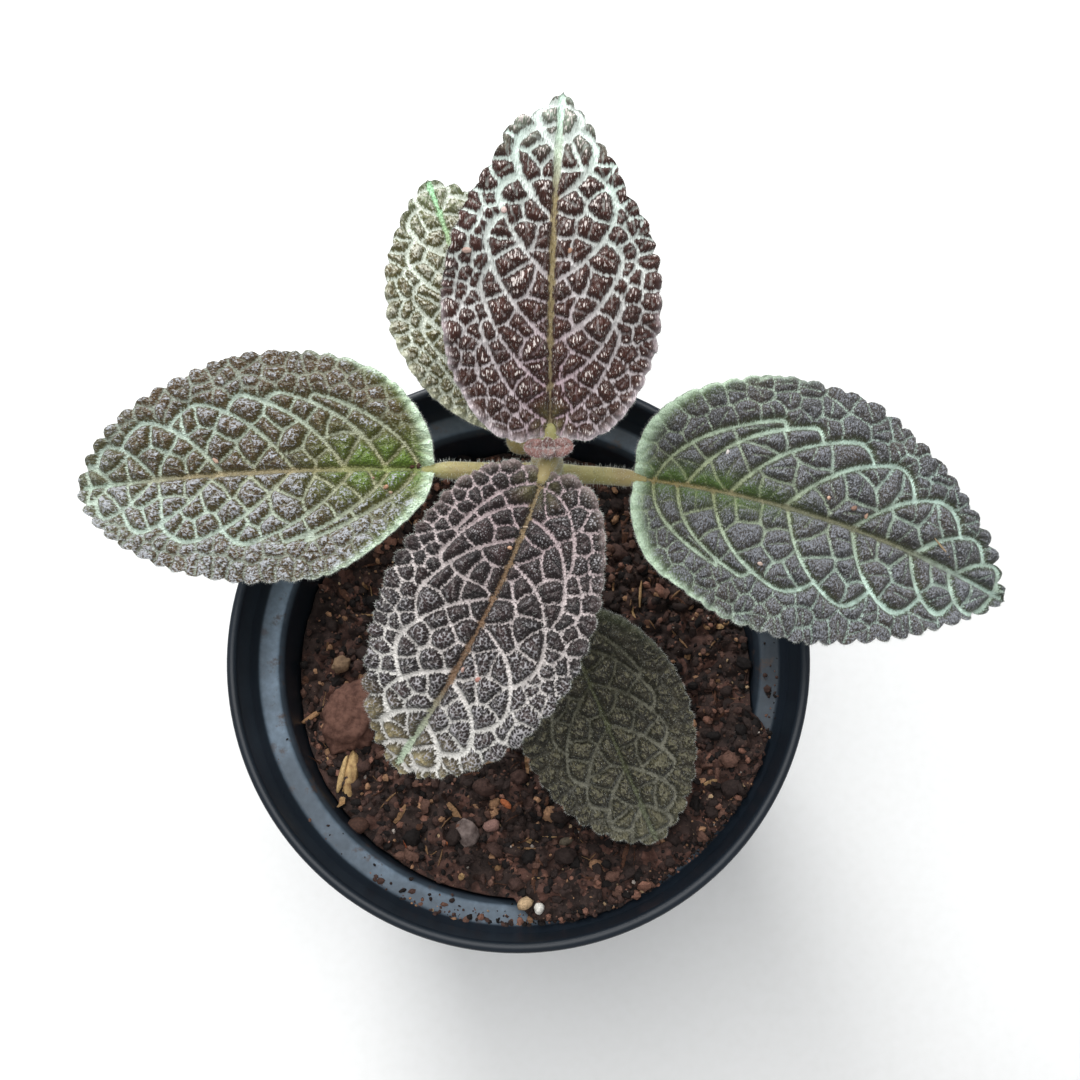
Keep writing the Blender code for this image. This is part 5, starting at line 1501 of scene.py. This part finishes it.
def makeLeaf(name, leaf, underMat, hairMat):
    net = veinNet(leaf)
    outline = bladeOutline(leaf, blade["rimStep"])
    rim = rimTree(outline)
    topFlat, topFaces = flatBlade(leaf, outline, rim, blade["spacing"], leaf["seed"])
    lowFlat, lowFaces = flatBlade(leaf, outline, rim, blade["underSpacing"], leaf["seed"] + 1)
    top, low = skin(leaf, net, rim, topFlat), skin(leaf, net, rim, lowFlat)
    upper = lifted(top, top["height"] + top["thick"] / 2)
    rib = blade["rib"] * np.exp(-(low["x"] / 0.9) ** 2) * (
        1.0 - ease(low["s"], 0.6 * leaf["length"], leaf["length"]))
    underVein = np.exp(-(np.maximum(low["gap"], 0.0) / 0.4) ** 2) * ease(low["edge"], 0.3, 1.5)
    rib = rib + blade["underVein"] * underVein
    lower = lifted(low, low["puff"] - low["thick"] / 2 - rib)
    faces = shellFaces(topFaces, lowFaces, len(upper), len(outline))
    mats = [0] * len(topFaces) + [1] * len(lowFaces) + [0] * len(outline)
    both = {key: np.concatenate([top[key], low[key]])
            for key in ("s", "x", "gap", "faintGap", "edge", "normal")}
    piece = meshFrom(name + "_blade", np.vstack([upper, lower]), faces,
                     [leafMaterial(name, leaf), underMat], mats)
    giveSkin(piece, leaf, np.vstack([topFlat, lowFlat]), both)
    settle(piece, leaf["slot"], name)
    makeHairs(name, leaf, net, rim, outline, hairMat)
    if "specks" in leaf:
        gather(name + "_specks", "soil", speckBodies(leaf, net, rim),
               crumbMaterial("specks of soil on " + name, 0.85))


underside = undersideMaterial()
paleHairs = hairMaterial("clear leaf hairs", hair["color"], hair["tip"])
for leafName, leafShape in leaves.items():
    makeLeaf(leafName, leafShape, underside, paleHairs)
    print(leafName, "ready")


# Stem with its leaf stalks. It thins by taper, and by topTaper above its last node, and swells
# at each node. A stalk is thicker by the stem, by stalkSwell, and thinner by the blade, by
# stalkThin, and it ends `sink` mm inside the blade.
stem = dict(
    foot=(2.0, 14.0), depth=12.0, radius=2.7, bend=(2.4, 18.6, 86.0),
    nodes=((4.3, 22.6, 103.0), (4.8, 23.3, 117.5), (4.9, 22.3, 126.8)), top=(5.0, 22.2, 130.7),
    taper=0.7, topTaper=0.8, swell=0.55, swellReach=1.8, stalkRadius=1.45, stalkStep=0.8,
    stalkSwell=0.25, stalkThin=0.55, step=1.0, voxel=0.33, sink=2.2, hairs=5200, hairSeed=5,
    hairLength=(0.3, 0.9), hairSpread=0.3, hairRadius=0.03,
    color="#a89a66", shade="#7d6c46", green="#8f9a58")
stalkNodes = {"leaf_left": 1, "leaf_right": 1, "leaf_back": 2, "leaf_front": 2, "leaf_low_back": 0,
              "leaf_low_front": 0}
stalkBends = {"leaf_low_back": ((5.2, 28.6, 105.0), (3.4, 31.2, 107.6)),
              "leaf_low_front": ((5.6, 16.0, 98.6),)}


# A smooth run through a few points, with a stop about every step.
def smoothLine(points, step):
    points = np.array(points, float)
    spans = np.linalg.norm(np.diff(points, axis=0), axis=1)
    slopes = np.diff(points, axis=0) / spans[:, None]
    tangents = [slopes[0]]
    for i in range(len(spans) - 1):
        near, far = spans[i], spans[i + 1]
        tangents.append((slopes[i] * far + slopes[i + 1] * near) / (near + far))
    tangents.append(slopes[-1])
    line = []
    for i, span in enumerate(spans):
        for t in np.arange(max(1, round(span / step))) / max(1, round(span / step)):
            farShare = 3 * t ** 2 - 2 * t ** 3
            place = (1.0 - farShare) * points[i] + farShare * points[i + 1]
            place = place + (t ** 3 - 2 * t ** 2 + t) * tangents[i] * span
            line.append(place + (t ** 3 - t ** 2) * tangents[i + 1] * span)
    return np.array(line + [points[-1]])


def ringTube(line, radii, sides=20):
    verts = []
    up = np.array([0.31, 0.22, 0.92])
    for i, point in enumerate(line):
        ahead = line[min(i + 1, len(line) - 1)] - line[max(i - 1, 0)]
        ahead = ahead / np.linalg.norm(ahead)
        side = np.cross(ahead, up)
        side /= np.linalg.norm(side)
        across = np.cross(ahead, side)
        for k in range(sides):
            angle = 2 * math.pi * k / sides
            verts.append(point + radii[i] * (math.cos(angle) * side + math.sin(angle) * across))
    rings = [range(i * sides, (i + 1) * sides) for i in range(len(line))]
    return verts, bridge(rings) + [tuple(rings[0]), tuple(reversed(rings[-1]))]


def stemLines():
    level = smoothLevel(*stem["foot"])
    foot = (*stem["foot"], level - stem["depth"] + 0.3)
    stops = [foot, (*stem["foot"], level + 1.5), stem["bend"], *stem["nodes"], stem["top"]]
    line = smoothLine(stops, stem["step"])
    radii = []
    for point in line:
        radius = stem["radius"] - stem["taper"] * float(ease(point[2], level, stem["top"][2]))
        for node in stem["nodes"]:
            radius += stem["swell"] * math.exp(-((point[2] - node[2]) / stem["swellReach"]) ** 2)
        radius -= stem["topTaper"] * float(ease(point[2], stem["nodes"][2][2], stem["top"][2]))
        radii.append(radius)
    lines = [(line, radii)]
    for name, number in stalkNodes.items():
        leaf = leaves[name]
        _, points, ahead = midribLine(leaf)
        end = points[0] - ahead[0] * 0.45 - np.array([0.0, 0.0, 0.15])
        before = end - ahead[0] * 2.2
        sunk = points[0] + ahead[0] * stem["sink"] - np.array([0.0, 0.0, 0.35])
        stops = [stem["nodes"][number], *stalkBends.get(name, ()), before, end, sunk]
        stalk = smoothLine(stops, stem["stalkStep"])
        radii = []
        for i, point in enumerate(stalk):
            away = float(ease(math.dist(stalk[0], point), 0.0, 6.0))
            swell = 1.0 + stem["stalkSwell"] - stem["stalkSwell"] * away
            thin = 1.0 - stem["stalkThin"] * float(ease(i / len(stalk), 0.75, 1.0))
            radii.append(stem["stalkRadius"] * swell * thin)
        lines.append((stalk, radii))
    return lines


# Young hairy stem: olive tan with greener patches, and a matt felt of short hairs.
def stemMaterial():
    mat, tree = newMaterial("hairy young stem")
    where = add(tree, "NewGeometry", {}, out="Position")
    streak = add(tree, "TexNoise", {"Vector": where, "Scale": 420.0, "Detail": 4.0})
    broad = add(tree, "TexNoise", {"Vector": where, "Scale": 70.0, "Detail": 2.0})
    tone = add(tree, "Mix", [streak, stem["shade"], stem["color"]])
    share = add(tree, "MapRange", [broad, 0.5, 0.75, 0.0, 0.6])
    tone = add(tree, "Mix", [share, tone, stem["green"]])
    fine = add(tree, "TexNoise", {"Vector": where, "Scale": 2200.0, "Detail": 2.0})
    bump = add(tree, "Bump", {"Height": fine, "Strength": 0.5, "Distance": 0.0002})
    return finishMaterial(mat, {"Base Color": tone, "Roughness": 0.55, "Sheen Weight": 0.3,
                                "Normal": bump})


def makeStem(hairMat):
    verts, faces = [], []
    for line, radii in stemLines():
        body, quads = ringTube(line, radii)
        faces += [tuple(i + len(verts) for i in f) for f in quads]
        verts += body
    trunk = meshFrom("stem_and_stalks", verts, faces, [stemMaterial()])
    fuse = trunk.modifiers.new("fuse", "REMESH")
    fuse.mode = "VOXEL"
    fuse.voxel_size = stem["voxel"] * mm
    soft = trunk.modifiers.new("soften", "SMOOTH")
    soft.factor = 0.5
    soft.iterations = 6
    applyModifiers(trunk)
    trunk.data.shade_smooth()
    settle(trunk, "stem", "stem")
    makeFelt("stem_hairs", trunk, "stem", hairMat, stem, smoothLevel(*stem["foot"]) + 0.5)


makeStem(paleHairs)
print("stem ready")


# Unopened pair at the tip: a small ball with two leaves round it and a smaller pair inside.
bud = dict(
    base=(5.1, 22.2, 133.0), headings=(8.0, 176.0), core=1.15, spacing=0.16, rimStep=0.15,
    thick=0.35, inner=dict(length=2.3, width=1.7, pitch=(62.0, 40.0)), innerHeadings=(98.0, 268.0),
    innerLift=0.5, color="#8c6058", dark="#48302a", hairColor="#d8c8c2", hairTip="#ffffff",
    hairs=1300, hairSeed=9, hairLength=(0.3, 0.8), hairSpread=0.35, hairRadius=0.026)
budLeaf = dict(
    turn=0.0, pitch=(34.0, 4.0), length=3.9, width=2.9, widest=0.52, basePower=0.5, tipPower=0.5,
    lobe=0.0, fold=16.0, curl=-20.0, tooth=0.0, wave=0.0, seed=1, bumpsLeft=(), bumpsRight=())


# Young leaf under a thick coat of hairs: dusty pink, mottled darker.
def budMaterial():
    mat, tree = newMaterial("furry young leaf")
    where = add(tree, "NewGeometry", {}, out="Position")
    fine = add(tree, "TexNoise", {"Vector": where, "Scale": 1400.0, "Detail": 3.0})
    tone = add(tree, "Mix", [fine, bud["dark"], bud["color"]])
    bump = add(tree, "Bump", {"Height": fine, "Strength": 0.5, "Distance": 0.0002})
    return finishMaterial(mat, {"Base Color": tone, "Roughness": 0.6, "Sheen Weight": 0.4,
                                "Normal": bump})


def makeBud():
    shape, tris = ball(3)
    verts = [tuple(p) for p in shape * bud["core"] + bud["base"]]
    faces = [tuple(f) for f in tris]
    inner = dict(budLeaf, **bud["inner"])
    for model, headings, lift in ((budLeaf, bud["headings"], 0.0),
                                  (inner, bud["innerHeadings"], bud["innerLift"])):
        for heading in headings:
            base = (bud["base"][0], bud["base"][1], bud["base"][2] + lift)
            leaf = dict(model, base=base, heading=heading)
            outline = bladeOutline(leaf, bud["rimStep"])
            rim = rimTree(outline)
            flat, skinFaces = flatBlade(leaf, outline, rim, bud["spacing"], 1)
            s, x = flat[:, 0], flat[:, 1]
            edge = gapTo(rim, flat)
            thick = bud["thick"] * np.sqrt(np.clip(edge / 0.4, 0.05, 1.0))
            ripple = 0.10 * np.cos(s * 5.0 + np.abs(x) * 4.0) - 0.22 * np.exp(-(x / 0.22) ** 2)
            middle, normal = bladePoint(leaf, s, x), bladeNormal(leaf, s, x, 0.1)
            upper = middle + normal * (thick + ripple * (edge > 0.05))[:, None]
            lower = middle - normal * thick[:, None]
            faces += shellFaces(skinFaces, skinFaces, len(flat), len(outline), len(verts))
            verts += [tuple(p) for p in np.vstack([upper, lower])]
    piece = meshFrom("shoot_tip_look", verts, faces, [budMaterial()])
    settle(piece, "young_leaf", "shoot_tip")
    mat = hairMaterial("pinkish bud hairs", bud["hairColor"], bud["hairTip"])
    makeFelt("shoot_tip_hairs", piece, "young_leaf", mat, bud)


makeBud()
print("shoot tip ready")
